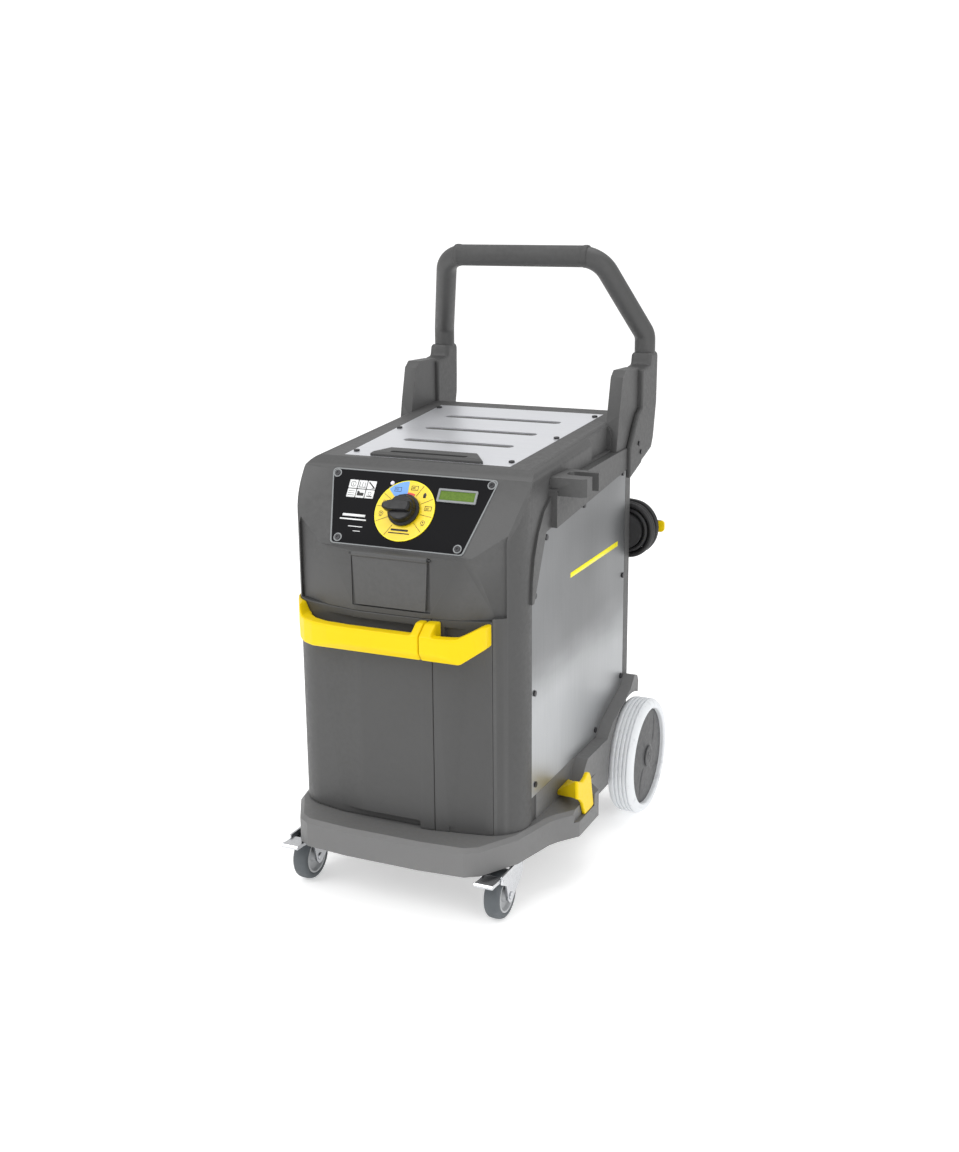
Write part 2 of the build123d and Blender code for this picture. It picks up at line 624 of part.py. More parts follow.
WY = CAST_Y - TRAIL
for side, sx in (("right", 1), ("left", -1)):
    cx = sx * CAST_X
    with BuildPart() as fork:
        for dx in (-18, 15):
            with BuildSketch(Plane.YZ.offset(cx + dx)):
                poly((CAST_Y + 18, 81), (WY - 31, 81), (WY - 31, 68), (WY - 16, 60), (WY - 10, 34), (WY - 4, 27), (WY + 4, 27),
                     (WY + 14, 35), (CAST_Y + 10, 50), (CAST_Y + 17, 60))
                with Locations((WY, CAST_R)):
                    Circle(4, mode=Mode.SUBTRACT)
                with Locations((WY - 26, 73)):
                    Circle(2, mode=Mode.SUBTRACT)
            extrude(amount=3)
        with BuildSketch(Plane.XY.offset(78)):
            with Locations((cx, CAST_Y + 0.0)):
                Rectangle(36, 40)
        extrude(amount=3)
        with BuildSketch(Plane.XY.offset(81)):
            with Locations((cx, CAST_Y)):
                Circle(17)
        extrude(amount=3)
        with BuildSketch(Plane.XY.offset(84)):
            with Locations((cx, CAST_Y)):
                Circle(5)
        extrude(amount=8)
    fork.part.label = "castor_fork_" + side
    export_step(fork.part, "parts/castor_fork_" + side + ".step")
    CPL = Plane(origin=(cx, WY, CAST_R), x_dir=(1, 0, 0), z_dir=(0, -1, 0))
    with BuildPart() as ctyre:
        with BuildSketch(CPL):
            poly((-12, 27), (12, 27), (12.5, 33), (9, 36.8), (5, CAST_R), (-5, CAST_R), (-9, 36.8), (-12.5, 33))
        revolve(axis=Axis((cx, WY, CAST_R), (1, 0, 0)))
    ctyre.part.label = "castor_tyre_" + side
    export_step(ctyre.part, "parts/castor_tyre_" + side + ".step")
    with BuildPart() as chub:
        with BuildSketch(CPL):
            poly((-13.5, 4.05), (-13.5, 9), (-5, 12), (-5, 23), (-11, 25), (-11, 27), (11, 27), (11, 25), (5, 23), (5, 12),
                 (13.5, 9), (13.5, 4.05))
        revolve(axis=Axis((cx, WY, CAST_R), (1, 0, 0)))
    chub.part.label = "castor_hub_" + side
    export_step(chub.part, "parts/castor_hub_" + side + ".step")
    with BuildPart() as cax:
        with BuildSketch(CPL):
            poly((-20, 0), (-20, 6), (-18, 6), (-18, 4), (18, 4), (18, 6), (20, 6), (20, 0))
        revolve(axis=Axis((cx, WY, CAST_R), (1, 0, 0)))
    cax.part.label = "castor_axle_" + side
    export_step(cax.part, "parts/castor_axle_" + side + ".step")
    with BuildPart() as pedal:
        with BuildSketch(Plane.YZ.offset(cx - 14.5)):
            with Locations((WY - 26, 73)):
                Circle(4)
            poly((WY - 26, 77), (WY - 44, 77.5), (WY - 60, 79.5), (WY - 62, 77), (WY - 60, 73), (WY - 44, 72.5), (WY - 26, 70))
        extrude(amount=29)
        with BuildSketch(Plane.YZ.offset(cx - 18.5)):
            with Locations((WY - 26, 73)):
                Circle(1.95)
        extrude(amount=37)
    pedal.part.label = "brake_pedal_" + side
    export_step(pedal.part, "parts/brake_pedal_" + side + ".step")

# ------------------------------------------------------------------ tanks
TZ0, TZ1 = CH_Z1 + 0.6, HOOD_Z - 0.6
TANKS = (("waste", -200.0, SEAM_X - 0.4, -173.5), ("fresh", SEAM_X + 0.4, PILLAR_X - 0.6, SEAM_X + 0.4))
for name, x0, x1, xb in TANKS:
    with BuildPart() as tank:
        with BuildSketch(Plane.XY.offset(TZ0)):
            plan_face(0)
            with Locations((x0 - 250, 0)):
                Rectangle(500, 900, mode=Mode.SUBTRACT)
            with Locations((x1 + 250, 0)):
                Rectangle(500, 900, mode=Mode.SUBTRACT)
            with Locations((0, -193.4 + 300)):
                Rectangle(900, 600, mode=Mode.SUBTRACT)
        extrude(amount=TZ1 - TZ0)
        with BuildSketch(Plane.XY.offset(TZ0)):
            with Locations(((xb + x1) / 2, -107)):
                Rectangle(x1 - xb, 174)
        extrude(amount=446 - TZ0)
        # cavity
        with BuildSketch(Plane.XY.offset(TZ0 + 5)):
            with Locations(((xb + x1) / 2, -127)):
                RectangleRounded(x1 - xb - 10, 204, 12)
        extrude(amount=446 - TZ0, mode=Mode.SUBTRACT)
        # shallow finger recess above the handle bar
        with BuildSketch(Plane.XZ.offset(264)):
            if name == "waste":
                poly((-118, 402), (38, 402), (38, 446), (-118, 446))
            else:
                poly((84, 402), (128, 402), (128, 446), (84, 446))
        extrude(amount=30, mode=Mode.SUBTRACT)
        # lower grip recess
        with BuildSketch(Plane.XZ.offset(268)):
            if name == "waste":
                poly((-105, 127), (41, 127), (41, 139), (-105, 139))
            else:
                poly((87, 127), (131, 127), (131, 136), (87, 136))
        extrude(amount=20, mode=Mode.SUBTRACT)
    tank.part.label = name + "_tank_body"
    export_step(tank.part, "parts/" + name + "_tank_body.step")

BH0, BH1, BH2 = 403.0, 441.0, 456.0
with BuildPart() as wh:
    with BuildSketch(Plane.XY.offset(BH0)):
        poly((-189.5, -212), (-185, -228), (-174.5, -246), (-164, -262), (-152.5, -280), (-137, -294), (-118, -303), (-90, -309),
             (-60, -311), (61, -311), (61, -293), (-60, -293), (-100, -289.5), (-122, -281), (-138, -268), (-148, -250),
             (-160, -212))
    extrude(amount=BH2 - BH0)
    with BuildSketch(Plane.XZ.offset(200)):
        poly((-156, 470), (-156, BH2), (-146, BH1), (48, BH1), (48, 470))
    extrude(amount=150, mode=Mode.SUBTRACT)
    with BuildSketch(Plane.YZ.offset(48)):
        poly((-293.5, 426), (-293.5, BH2), (-268, BH2), (-268, 426))
    extrude(amount=13)
    with BuildSketch(Plane.YZ.offset(47)):
        poly((-312, BH1 - 0.5), (-290, BH2 + 0.1), (-290, 470), (-315, 470), (-315, BH1 - 0.5))
    extrude(amount=15, mode=Mode.SUBTRACT)
    with BuildSketch(Plane.XZ.offset(200)):
        poly((-193, 400), (-193, 416), (-176, 414), (-148, BH0), (-148, 400))
    extrude(amount=150, mode=Mode.SUBTRACT)
    with BuildSketch(Plane.XY.offset(300)):
        plan_face(0)
    extrude(amount=240, mode=Mode.SUBTRACT)
    with BuildSketch(Plane.YZ.offset(-150)):
        poly((-318, BH0 - 1), (-318, BH0 + 14), (-312.5, BH0 + 14), (-302, BH0 - 1))
    extrude(amount=230, mode=Mode.SUBTRACT)
wh.part.label = "waste_tank_handle"
export_step(wh.part, "parts/waste_tank_handle.step")

with BuildPart() as fh:
    with BuildSketch(Plane.XY.offset(BH0)):
        poly((62, -311), (92, -311), (108, -308.5), (124, -302), (140, -291), (149, -281), (152.4, -274), (152.4, -255), (140, -255),
             (134, -270), (124, -282), (108, -290), (92, -293), (62, -293))
    extrude(amount=BH2 - BH0)
    with BuildSketch(Plane.XZ.offset(200)):
        poly((80, 470), (80, BH1), (117, BH1), (147, BH2), (147, 470))
    extrude(amount=150, mode=Mode.SUBTRACT)
    with BuildSketch(Plane.YZ.offset(62)):
        poly((-293.5, 426), (-293.5, BH2), (-268, BH2), (-268, 426))
    extrude(amount=18)
    with BuildSketch(Plane.YZ.offset(61)):
        poly((-312, BH1 - 0.5), (-290, BH2 + 0.1), (-290, 470), (-315, 470), (-315, BH1 - 0.5))
    extrude(amount=20, mode=Mode.SUBTRACT)
    with BuildSketch(Plane.XZ.offset(200)):
        poly((118, 400), (122, BH0), (153, 424), (156, 424), (156, 400))
    extrude(amount=150, mode=Mode.SUBTRACT)
    with BuildSketch(Plane.XY.offset(300)):
        plan_face(0)
    extrude(amount=240, mode=Mode.SUBTRACT)
    with BuildSketch(Plane.YZ.offset(61.5)):
        poly((-318, BH0 - 1), (-318, BH0 + 14), (-312.5, BH0 + 14), (-302, BH0 - 1))
    extrude(amount=60, mode=Mode.SUBTRACT)
fh.part.label = "fresh_tank_handle"
export_step(fh.part, "parts/fresh_tank_handle.step")

FX, FY = -60.0, -130.0
with BuildPart() as wl:
    with BuildSketch(Plane.XY.offset(446)):
        with Locations(((-173.5 + SEAM_X - 0.4) / 2, -106.6)):
            Rectangle(SEAM_X - 0.4 + 173.5, 173)
    extrude(amount=6)
    with BuildSketch(Plane.XY.offset(340)):
        with Locations((FX, FY)):
            Circle(3)
    extrude(amount=106)
    with BuildSketch(Plane.XY.offset(340)):
        with Locations((FX, FY)):
            Circle(8)
    extrude(amount=3)
wl.part.label = "waste_tank_lid"
export_step(wl.part, "parts/waste_tank_lid.step")

with BuildPart() as fl:
    with BuildSketch(Plane.XY.offset(343.5)):
        with Locations((FX, FY)):
            Circle(24)
            Circle(3.4, mode=Mode.SUBTRACT)
    extrude(amount=36)
fl.part.label = "waste_tank_float"
export_step(fl.part, "parts/waste_tank_float.step")

with BuildPart() as fc:
    with BuildSketch(Plane.XY.offset(446)):
        with Locations(((SEAM_X + 0.4 + PILLAR_X - 0.6) / 2, -106.6)):
            Rectangle(PILLAR_X - SEAM_X - 1.0, 173)
    extrude(amount=5)
    with BuildSketch(Plane.XY.offset(451)):
        with Locations((109, -100)):
            Circle(24)
    extrude(amount=5)
fc.part.label = "fresh_tank_lid"
export_step(fc.part, "parts/fresh_tank_lid.step")

# ------------------------------------------------------------------ inner works
with BuildPart() as boiler:
    with BuildSketch(Plane.XY.offset(CH_Z1)):
        with Locations((-88, 100)):
            Circle(72)
    extrude(amount=215)
    fillet(boiler.faces().sort_by(Axis.Z)[-1].edges(), radius=24)
    with BuildSketch(Plane.XY.offset(CH_Z1 + 3)):
        with Locations((-88, 100)):
            Circle(69)
    extrude(amount=188, mode=Mode.SUBTRACT)
    with BuildSketch(Plane.XY.offset(CH_Z1 + 180)):
        with Locations((-88, 58)):
            Circle(4)
    extrude(amount=40, mode=Mode.SUBTRACT)
boiler.part.label = "boiler_vessel"
export_step(boiler.part, "parts/boiler_vessel.step")

with BuildPart() as heater:
    with BuildSketch(Plane.XY.offset(CH_Z1 + 215)):
        with Locations((-88, 100)):
            Circle(34)
    extrude(amount=8)
    with BuildSketch(Plane.XY.offset(CH_Z1 + 223)):
        with Locations((-98, 90), (-98, 110), (-78, 100)):
            Circle(5)
    extrude(amount=16)
heater.part.label = "boiler_heater"
export_step(heater.part, "parts/boiler_heater.step")

with BuildPart() as pump:
    with BuildSketch(Plane.XY.offset(CH_Z1)):
        with Locations((-10, 205)):
            Rectangle(80, 44)
    extrude(amount=60)
    with BuildSketch(Plane.XY.offset(CH_Z1 + 60)):
        with Locations((-30, 205), (12, 205)):
            Circle(8)
    extrude(amount=24)
pump.part.label = "water_pump"
export_step(pump.part, "parts/water_pump.step")

MX, MY = 88.0, 90.0
with BuildPart() as motor:
    with BuildSketch(Plane.XY.offset(CH_Z1)):
        with Locations((MX, MY)):
            Circle(68)
    extrude(amount=130)
    with BuildSketch(Plane.XY.offset(CH_Z1 + 5)):
        with Locations((MX, MY)):
            Circle(63)
    extrude(amount=120, mode=Mode.SUBTRACT)
    with BuildSketch(Plane.XY.offset(CH_Z1 + 4)):
        with Locations((MX, MY)):
            Circle(14)
    extrude(amount=40)
    with BuildSketch(Plane.XY.offset(CH_Z1 + 10)):
        with Locations((MX, MY)):
            Circle(5.05)
    extrude(amount=40, mode=Mode.SUBTRACT)
    with BuildSketch(Plane.XY.offset(CH_Z1 + 120)):
        with Locations((MX, MY)):
            Circle(22)
    extrude(amount=20, mode=Mode.SUBTRACT)
motor.part.label = "suction_housing"
export_step(motor.part, "parts/suction_housing.step")

with BuildPart() as imp:
    with BuildSketch(Plane.XY.offset(CH_Z1 + 10)):
        with Locations((MX, MY)):
            Circle(5)
    extrude(amount=40)
    with BuildSketch(Plane.XY.offset(CH_Z1 + 44)):
        with Locations((MX, MY)):
            Circle(57)
    extrude(amount=4)
    with BuildSketch(Plane.XY.offset(CH_Z1 + 48)):
        with Locations((MX, MY)):
            with PolarLocations(36, 8):
                Rectangle(38, 3, rotation=25)
    extrude(amount=22)
imp.part.label = "suction_impeller"
export_step(imp.part, "parts/suction_impeller.step")

with BuildPart() as board:
    with BuildSketch(Plane.XZ.offset(-212)):
        with Locations((0, 440)):
            Rectangle(170, 130)
    extrude(amount=2)
    with BuildSketch(Plane.XZ.offset(-236)):
        with Locations((-76, 384), (76, 384), (-76, 496), (76, 496)):
            Circle(4)
    extrude(amount=24)
    with BuildSketch(Plane.XZ.offset(-210)):
        with Locations((-40, 450), (40, 430)):
            Rectangle(44, 36)
    extrude(amount=18)
board.part.label = "circuit_board"
export_step(board.part, "parts/circuit_board.step")

# ------------------------------------------------------------------ mains cable
with BuildPart() as hooks:
    for sx in (1, -1):
        with BuildSketch(Plane.XZ.offset(-COIL_Y1 - 4)):
            with Locations((sx * COIL_X, COIL_Z)):
                Circle(COIL_RI)
            with Locations((sx * (COIL_X - 14), COIL_Z)):
                Rectangle(28, 2 * COIL_RI)
        extrude(amount=COIL_Y1 + 4 - REAR_Y)
        with BuildSketch(Plane.XZ.offset(-COIL_Y1 - 8)):
            with Locations((sx * (COIL_X + 15), COIL_Z + 2)):
                RectangleRounded(84, 20, 6)
        extrude(amount=5)
hooks.part.label = "cable_hooks"
export_step(hooks.part, "parts/cable_hooks.step")

GX, GZ = 80.0, 328.0
with BuildPart() as gland:
    with BuildSketch(Plane.XY.offset(258)):
        with Locations((GX, 259)):
            RectangleRounded(36, 38, 4)
    extrude(amount=32)
    with BuildSketch(Plane.XY.offset(290)):
        with Locations((GX, CORD_Y)):
            Circle(9.5)
    with BuildSketch(Plane.XY.offset(GZ)):
        with Locations((GX, CORD_Y)):
            Circle(5.6)
    loft()
gland.part.label = "cable_gland"
export_step(gland.part, "parts/cable_gland.step")

CZB = COIL_Z - COIL_RO
print("cord runs are straight; coil inner radius", COIL_RI + CORD_D / 2)
with BuildPart() as cord:
    for (px, py, z0, z1) in ((GX, CORD_Y, GZ, CZB), (-66, PLUG_Y, 326, CZB)):
        with BuildSketch(Plane.XY.offset(z0)):
            with Locations((px, py)):
                Circle(CORD_D / 2)
        extrude(amount=z1 - z0)
cord.part.label = "mains_cord"
export_step(cord.part, "parts/mains_cord.step")

with BuildPart() as coil:
    with BuildSketch(Plane.XZ.offset(-COIL_Y1)):
        SlotCenterToCenter(2 * COIL_X, 2 * COIL_RO)
        SlotCenterToCenter(2 * COIL_X, 2 * COIL_RI, mode=Mode.SUBTRACT)
    extrude(amount=COIL_Y1 - COIL_Y0)
coil_part = coil.part.moved(Location((0, 0, COIL_Z)))
coil_part.label = "mains_cord_coil"
export_step(coil_part, "parts/mains_cord_coil.step")

with BuildPart() as plug:
    with BuildSketch(Plane.XY.offset(326)):
        with Locations((-66, PLUG_Y)):
            Circle(6)
    with BuildSketch(Plane.XY.offset(300)):
        with Locations((-66, PLUG_Y)):
            Circle(9)
    loft()
    with BuildSketch(Plane.XY.offset(262)):
        with Locations((-66, PLUG_Y)):
            Circle(18)
    extrude(amount=38)
    with BuildSketch(Plane.XY.offset(243)):
        with Locations((-75.5, PLUG_Y), (-56.5, PLUG_Y)):
            Circle(2.4)
    extrude(amount=19)
plug.part.label = "mains_plug"
export_step(plug.part, "parts/mains_plug.step")

export_step(rest.part, "parts/tube_rest.step")
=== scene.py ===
import bpy, bmesh, math, random
from math import sin, cos, pi, radians, hypot, atan2
from mathutils import Vector, Matrix, noise


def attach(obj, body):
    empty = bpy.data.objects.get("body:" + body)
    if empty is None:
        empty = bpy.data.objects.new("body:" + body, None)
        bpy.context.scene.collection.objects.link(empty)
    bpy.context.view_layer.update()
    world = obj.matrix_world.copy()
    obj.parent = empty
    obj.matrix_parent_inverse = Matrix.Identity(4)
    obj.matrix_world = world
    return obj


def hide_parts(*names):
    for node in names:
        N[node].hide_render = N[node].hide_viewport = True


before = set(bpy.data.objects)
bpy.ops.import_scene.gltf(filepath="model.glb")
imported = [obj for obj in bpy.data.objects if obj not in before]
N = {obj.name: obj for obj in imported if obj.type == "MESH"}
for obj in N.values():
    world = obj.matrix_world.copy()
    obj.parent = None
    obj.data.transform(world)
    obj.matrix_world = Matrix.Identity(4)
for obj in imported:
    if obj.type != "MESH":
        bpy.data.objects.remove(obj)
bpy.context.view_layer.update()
MM = 0.001
random.seed(7)

# ------------------------------------------------------------------ camera
cam_data = bpy.data.cameras.new("camera")
cam = bpy.data.objects.new("camera", cam_data)
bpy.context.scene.collection.objects.link(cam)
bpy.context.scene.camera = cam
right = Vector((0.90885, 0.41703, -0.00871)).normalized()
fwd = Vector((-0.40521, 0.87775, -0.25565)).normalized()
up = right.cross(fwd).normalized()
right = fwd.cross(up).normalized()
rot = Matrix((right, up, -fwd)).transposed()
cam.matrix_world = Matrix.Translation(Vector((0.9648, -2.0600, 1.0587))) @ rot.to_4x4()
cam_data.sensor_fit = "AUTO"
cam_data.sensor_width = 36.0
cam_data.lens = 45.34
cam_data.shift_x = 0.0011
cam_data.shift_y = -0.0053
cam_data.clip_start = 0.05
cam_data.clip_end = 60


# ------------------------------------------------------------------ materials
def mat_new(name):
    m = bpy.data.materials.new(name)
    m.use_nodes = True
    nt = m.node_tree
    b = nt.nodes["Principled BSDF"]
    return m, nt, b


def nd(nt, kind, **kw):
    n = nt.nodes.new(kind)
    for k, v in kw.items():
        if hasattr(n, k):
            setattr(n, k, v)
        else:
            n.inputs[k.replace("_", " ")].default_value = v
    return n


def ramp(nt, src, lo, hi, c0, c1):
    r = nt.nodes.new("ShaderNodeValToRGB")
    r.color_ramp.elements[0].position = lo
    r.color_ramp.elements[1].position = hi
    r.color_ramp.elements[0].color = (*c0, 1) if len(c0) == 3 else c0
    r.color_ramp.elements[1].color = (*c1, 1) if len(c1) == 3 else c1
    nt.links.new(src, r.inputs["Fac"])
    return r


def tex_coord(nt, scale=(1, 1, 1), rot_z=0.0):
    t = nt.nodes.new("ShaderNodeTexCoord")
    mp = nt.nodes.new("ShaderNodeMapping")
    mp.inputs["Scale"].default_value = scale
    mp.inputs["Rotation"].default_value = (0, 0, rot_z)
    nt.links.new(t.outputs["Object"], mp.inputs["Vector"])
    return mp.outputs["Vector"]


def noise_tex(nt, vec, scale, detail=4.0, rough=0.55):
    n = nt.nodes.new("ShaderNodeTexNoise")
    n.inputs["Scale"].default_value = scale
    n.inputs["Detail"].default_value = detail
    n.inputs["Roughness"].default_value = rough
    nt.links.new(vec, n.inputs["Vector"])
    return n.outputs["Fac"]


def bump(nt, bsdf, height, strength, dist):
    b = nt.nodes.new("ShaderNodeBump")
    b.inputs["Strength"].default_value = strength
    b.inputs["Distance"].default_value = dist
    nt.links.new(height, b.inputs["Height"])
    nt.links.new(b.outputs["Normal"], bsdf.inputs["Normal"])
    return b


def plastic(name, base, vary=0.12, rough=(0.42, 0.56), grain=900.0, grain_strength=0.25, coat=0.0, spec=0.5, worn=0.10,
            big=6.0, sheen=0.0):
    """Moulded plastic: fine spark-eroded grain, slow colour drift, a little wear along the edges."""
    m, nt, b = mat_new(name)
    vec = tex_coord(nt)
    slow = noise_tex(nt, vec, big, 3.0)
    fine = noise_tex(nt, vec, 140.0, 4.0)
    lo = tuple(c * (1 - vary) for c in base)
    hi = tuple(min(1.0, c * (1 + vary)) for c in base)
    r1 = ramp(nt, slow, 0.30, 0.70, lo, hi)
    geo = nt.nodes.new("ShaderNodeNewGeometry")
    edge = ramp(nt, geo.outputs["Pointiness"], 0.515, 0.60, (0, 0, 0), (1, 1, 1))
    mul = nt.nodes.new("ShaderNodeMath")
    mul.operation = "MULTIPLY"
    nt.links.new(edge.outputs["Color"], mul.inputs[0])
    nt.links.new(fine, mul.inputs[1])
    mix = nt.nodes.new("ShaderNodeMix")
    mix.data_type = "RGBA"
    nt.links.new(mul.outputs[0], mix.inputs["Factor"])
    nt.links.new(r1.outputs["Color"], mix.inputs["A"])
    mix.inputs["B"].default_value = (*[min(1.0, c * (1 + worn * 4) + 0.01) for c in base], 1)
    nt.links.new(mix.outputs["Result"], b.inputs["Base Color"])
    rr = ramp(nt, fine, 0.3, 0.7, (rough[0],) * 3, (rough[1],) * 3)
    nt.links.new(rr.outputs["Color"], b.inputs["Roughness"])
    g = noise_tex(nt, vec, grain, 2.0)
    bump(nt, b, g, grain_strength, 0.0004)
    b.inputs["Specular IOR Level"].default_value = spec
    if coat:
        b.inputs["Coat Weight"].default_value = coat
        b.inputs["Coat Roughness"].default_value = 0.12
    return m


def metal(name, base, rough=(0.24, 0.36), stretch=(40, 40, 40), scale=30.0, bump_s=0.05, vary=0.10, bands=None, aniso=0.0,
          metallic=1.0, painted_height_shade=None):
    """Sheet or bar metal with a directional brushed grain."""
    m, nt, b = mat_new(name)
    vec = tex_coord(nt, stretch)
    g = noise_tex(nt, vec, scale, 3.0, 0.6)
    vec2 = tex_coord(nt)
    slow = noise_tex(nt, vec2, 5.0, 2.0)
    lo = tuple(c * (1 - vary) for c in base)
    hi = tuple(min(1.0, c * (1 + vary)) for c in base)
    r1 = ramp(nt, g, 0.25, 0.75, lo, hi)
    last = r1.outputs["Color"]
    if bands:
        w = nt.nodes.new("ShaderNodeTexNoise")
        w.inputs["Scale"].default_value = 1.0
        w.inputs["Detail"].default_value = 2.0
        vb = tex_coord(nt, bands)
        nt.links.new(vb, w.inputs["Vector"])
        rb = ramp(nt, w.outputs["Fac"], 0.35, 0.65, (0.80, 0.80, 0.80), (1.0, 1.0, 1.0))
        mx = nt.nodes.new("ShaderNodeMix")
        mx.data_type = "RGBA"
        mx.blend_type = "MULTIPLY"
        mx.inputs["Factor"].default_value = 1.0
        nt.links.new(last, mx.inputs["A"])
        nt.links.new(rb.outputs["Color"], mx.inputs["B"])
        last = mx.outputs["Result"]
    if painted_height_shade:
        # painted reflection and shade: the sheet is lighter low down and darker higher up, with a soft cloudy edge, as
        # a lightly brushed sheet looks in a bright room
        z0, z1, dark = painted_height_shade
        sep = nt.nodes.new("ShaderNodeSeparateXYZ")
        nt.links.new(tex_coord(nt), sep.inputs["Vector"])
        cl = noise_tex(nt, tex_coord(nt, (3.0, 3.0, 9.0)), 1.6, 3.0)
        wob = nt.nodes.new("ShaderNodeMath")
        wob.operation = "MULTIPLY_ADD"
        nt.links.new(cl, wob.inputs[0])
        wob.inputs[1].default_value = 0.06
        nt.links.new(sep.outputs["Z"], wob.inputs[2])
        mr = nt.nodes.new("ShaderNodeMapRange")
        mr.interpolation_type = "SMOOTHSTEP"
        nt.links.new(wob.outputs[0], mr.inputs["Value"])
        mr.inputs["From Min"].default_value = z0 + 0.03
        mr.inputs["From Max"].default_value = z1 + 0.03
        mr.inputs["To Min"].default_value = 1.0
        mr.inputs["To Max"].default_value = dark
        mz = nt.nodes.new("ShaderNodeMix")
        mz.data_type = "RGBA"
        mz.blend_type = "MULTIPLY"
        mz.inputs["Factor"].default_value = 1.0
        nt.links.new(last, mz.inputs["A"])
        nt.links.new(mr.outputs["Result"], mz.inputs["B"])
        last = mz.outputs["Result"]
    nt.links.new(last, b.inputs["Base Color"])
    rr = ramp(nt, slow, 0.3, 0.7, (rough[0],) * 3, (rough[1],) * 3)
    nt.links.new(rr.outputs["Color"], b.inputs["Roughness"])
    b.inputs["Metallic"].default_value = metallic
    if aniso:
        b.inputs["Anisotropic"].default_value = aniso
    bump(nt, b, g, bump_s, 0.0002)
    return m


def rubber(name, base, vary=0.10, rough=(0.6, 0.8), grain=500.0, strength=0.3, scuff=None):
    m, nt, b = mat_new(name)
    vec = tex_coord(nt)
    slow = noise_tex(nt, vec, 9.0, 4.0)
    lo = tuple(c * (1 - vary) for c in base)
    hi = tuple(min(1.0, c * (1 + vary)) for c in base)
    r1 = ramp(nt, slow, 0.3, 0.7, lo, hi)
    last = r1.outputs["Color"]
    if scuff:
        sc = noise_tex(nt, vec, 60.0, 6.0, 0.7)
        rs = ramp(nt, sc, 0.58, 0.72, (0, 0, 0), (1, 1, 1))
        mx = nt.nodes.new("ShaderNodeMix")
        mx.data_type = "RGBA"
        nt.links.new(rs.outputs["Color"], mx.inputs["Factor"])
        nt.links.new(last, mx.inputs["A"])
        mx.inputs["B"].default_value = (*scuff, 1)
        last = mx.outputs["Result"]
    nt.links.new(last, b.inputs["Base Color"])
    fine = noise_tex(nt, vec, 120.0, 3.0)
    rr = ramp(nt, fine, 0.3, 0.7, (rough[0],) * 3, (rough[1],) * 3)
    nt.links.new(rr.outputs["Color"], b.inputs["Roughness"])
    bump(nt, b, noise_tex(nt, vec, grain, 2.0), strength, 0.0004)
    return m


M = {}
M["base"] = plastic("chassis_grey", (0.145, 0.145, 0.145), vary=0.05, rough=(0.46, 0.60), grain=1100, grain_strength=0.22, worn=0.10)
M["body"] = plastic("body_grey", (0.056, 0.056, 0.056), vary=0.05, rough=(0.46, 0.60), grain=1100, grain_strength=0.22, worn=0.10)
M["body2"] = plastic("body_grey_dark", (0.052, 0.052, 0.052), vary=0.05, rough=(0.46, 0.60), grain=1100, grain_strength=0.22)
M["tank"] = plastic("tank_grey", (0.055, 0.055, 0.055), vary=0.05, rough=(0.44, 0.58), grain=1300, grain_strength=0.20)
# side sheet: painted shade, multiplied darker from about 0.32 m up to 0.43 m height
M["side"] = metal("side_steel", (0.42, 0.43, 0.44), rough=(0.34, 0.46), stretch=(1, 600, 6), scale=2.0, bump_s=0.06, vary=0.08,
                  bands=(1, 3.0, 0.4), metallic=0.85, painted_height_shade=(0.290, 0.400, 0.45))
M["top"] = metal("top_steel", (0.74, 0.75, 0.78), rough=(0.30, 0.42), stretch=(6, 600, 600), scale=2.0, bump_s=0.05, vary=0.06,
                 metallic=0.8)
M["screw"] = metal("screw_dark", (0.035, 0.035, 0.038), rough=(0.35, 0.5), stretch=(60, 60, 60), scale=20, metallic=0.6)
M["panel"] = plastic("panel_black", (0.008, 0.008, 0.009), vary=0.15, rough=(0.50, 0.60), grain=700, grain_strength=0.03, spec=0.05, worn=0.0)
M["dial"] = plastic("dial_yellow", (0.82, 0.60, 0.004), vary=0.03, rough=(0.32, 0.42), grain=1500, grain_strength=0.06, worn=0.0)
M["knob"] = plastic("knob_black", (0.007, 0.007, 0.008), vary=0.15, rough=(0.34, 0.48), grain=900, grain_strength=0.06, spec=0.35, worn=0.0)
M["trim"] = plastic("display_trim", (0.20, 0.21, 0.215), vary=0.08, rough=(0.35, 0.5))
M["yellow"] = plastic("yellow_plastic", (0.82, 0.585, 0.0), vary=0.03, rough=(0.34, 0.46), grain=1200, grain_strength=0.08, coat=0.0, spec=0.22, worn=0.0)
M["tyre"] = rubber("tyre_light", (0.74, 0.76, 0.78), vary=0.04, rough=(0.55, 0.72), scuff=(0.56, 0.57, 0.59))
M["hub"] = plastic("hub_grey", (0.044, 0.045, 0.047), vary=0.08, rough=(0.40, 0.54), grain=900, grain_strength=0.2)
M["zinc"] = metal("castor_zinc", (0.62, 0.63, 0.65), rough=(0.16, 0.30), stretch=(30, 30, 30), scale=8, bump_s=0.03, vary=0.08)
M["ctyre"] = rubber("castor_grey", (0.080, 0.090, 0.098), vary=0.10, rough=(0.5, 0.7), scuff=(0.12, 0.13, 0.14))
M["chub"] = plastic("castor_hub", (0.42, 0.43, 0.44), vary=0.06, rough=(0.35, 0.5))
M["handle"] = plastic("handle_tube", (0.054, 0.054, 0.054), vary=0.06, rough=(0.42, 0.56), grain=1000, grain_strength=0.15)
M["sleeve"] = rubber("handle_grip", (0.050, 0.050, 0.050), vary=0.06, rough=(0.55, 0.72), grain=700, strength=0.5)
M["pin"] = metal("steel_pin", (0.55, 0.55, 0.56), rough=(0.2, 0.35), stretch=(400, 10, 10), scale=3)
M["dark"] = plastic("socket_dark", (0.020, 0.020, 0.021), vary=0.1, rough=(0.5, 0.65))
M["lid"] = plastic("tank_lid", (0.045, 0.045, 0.048), vary=0.08, rough=(0.45, 0.6))
M["boiler"] = metal("boiler_steel", (0.55, 0.55, 0.55), rough=(0.28, 0.4), stretch=(10, 10, 300), scale=3)
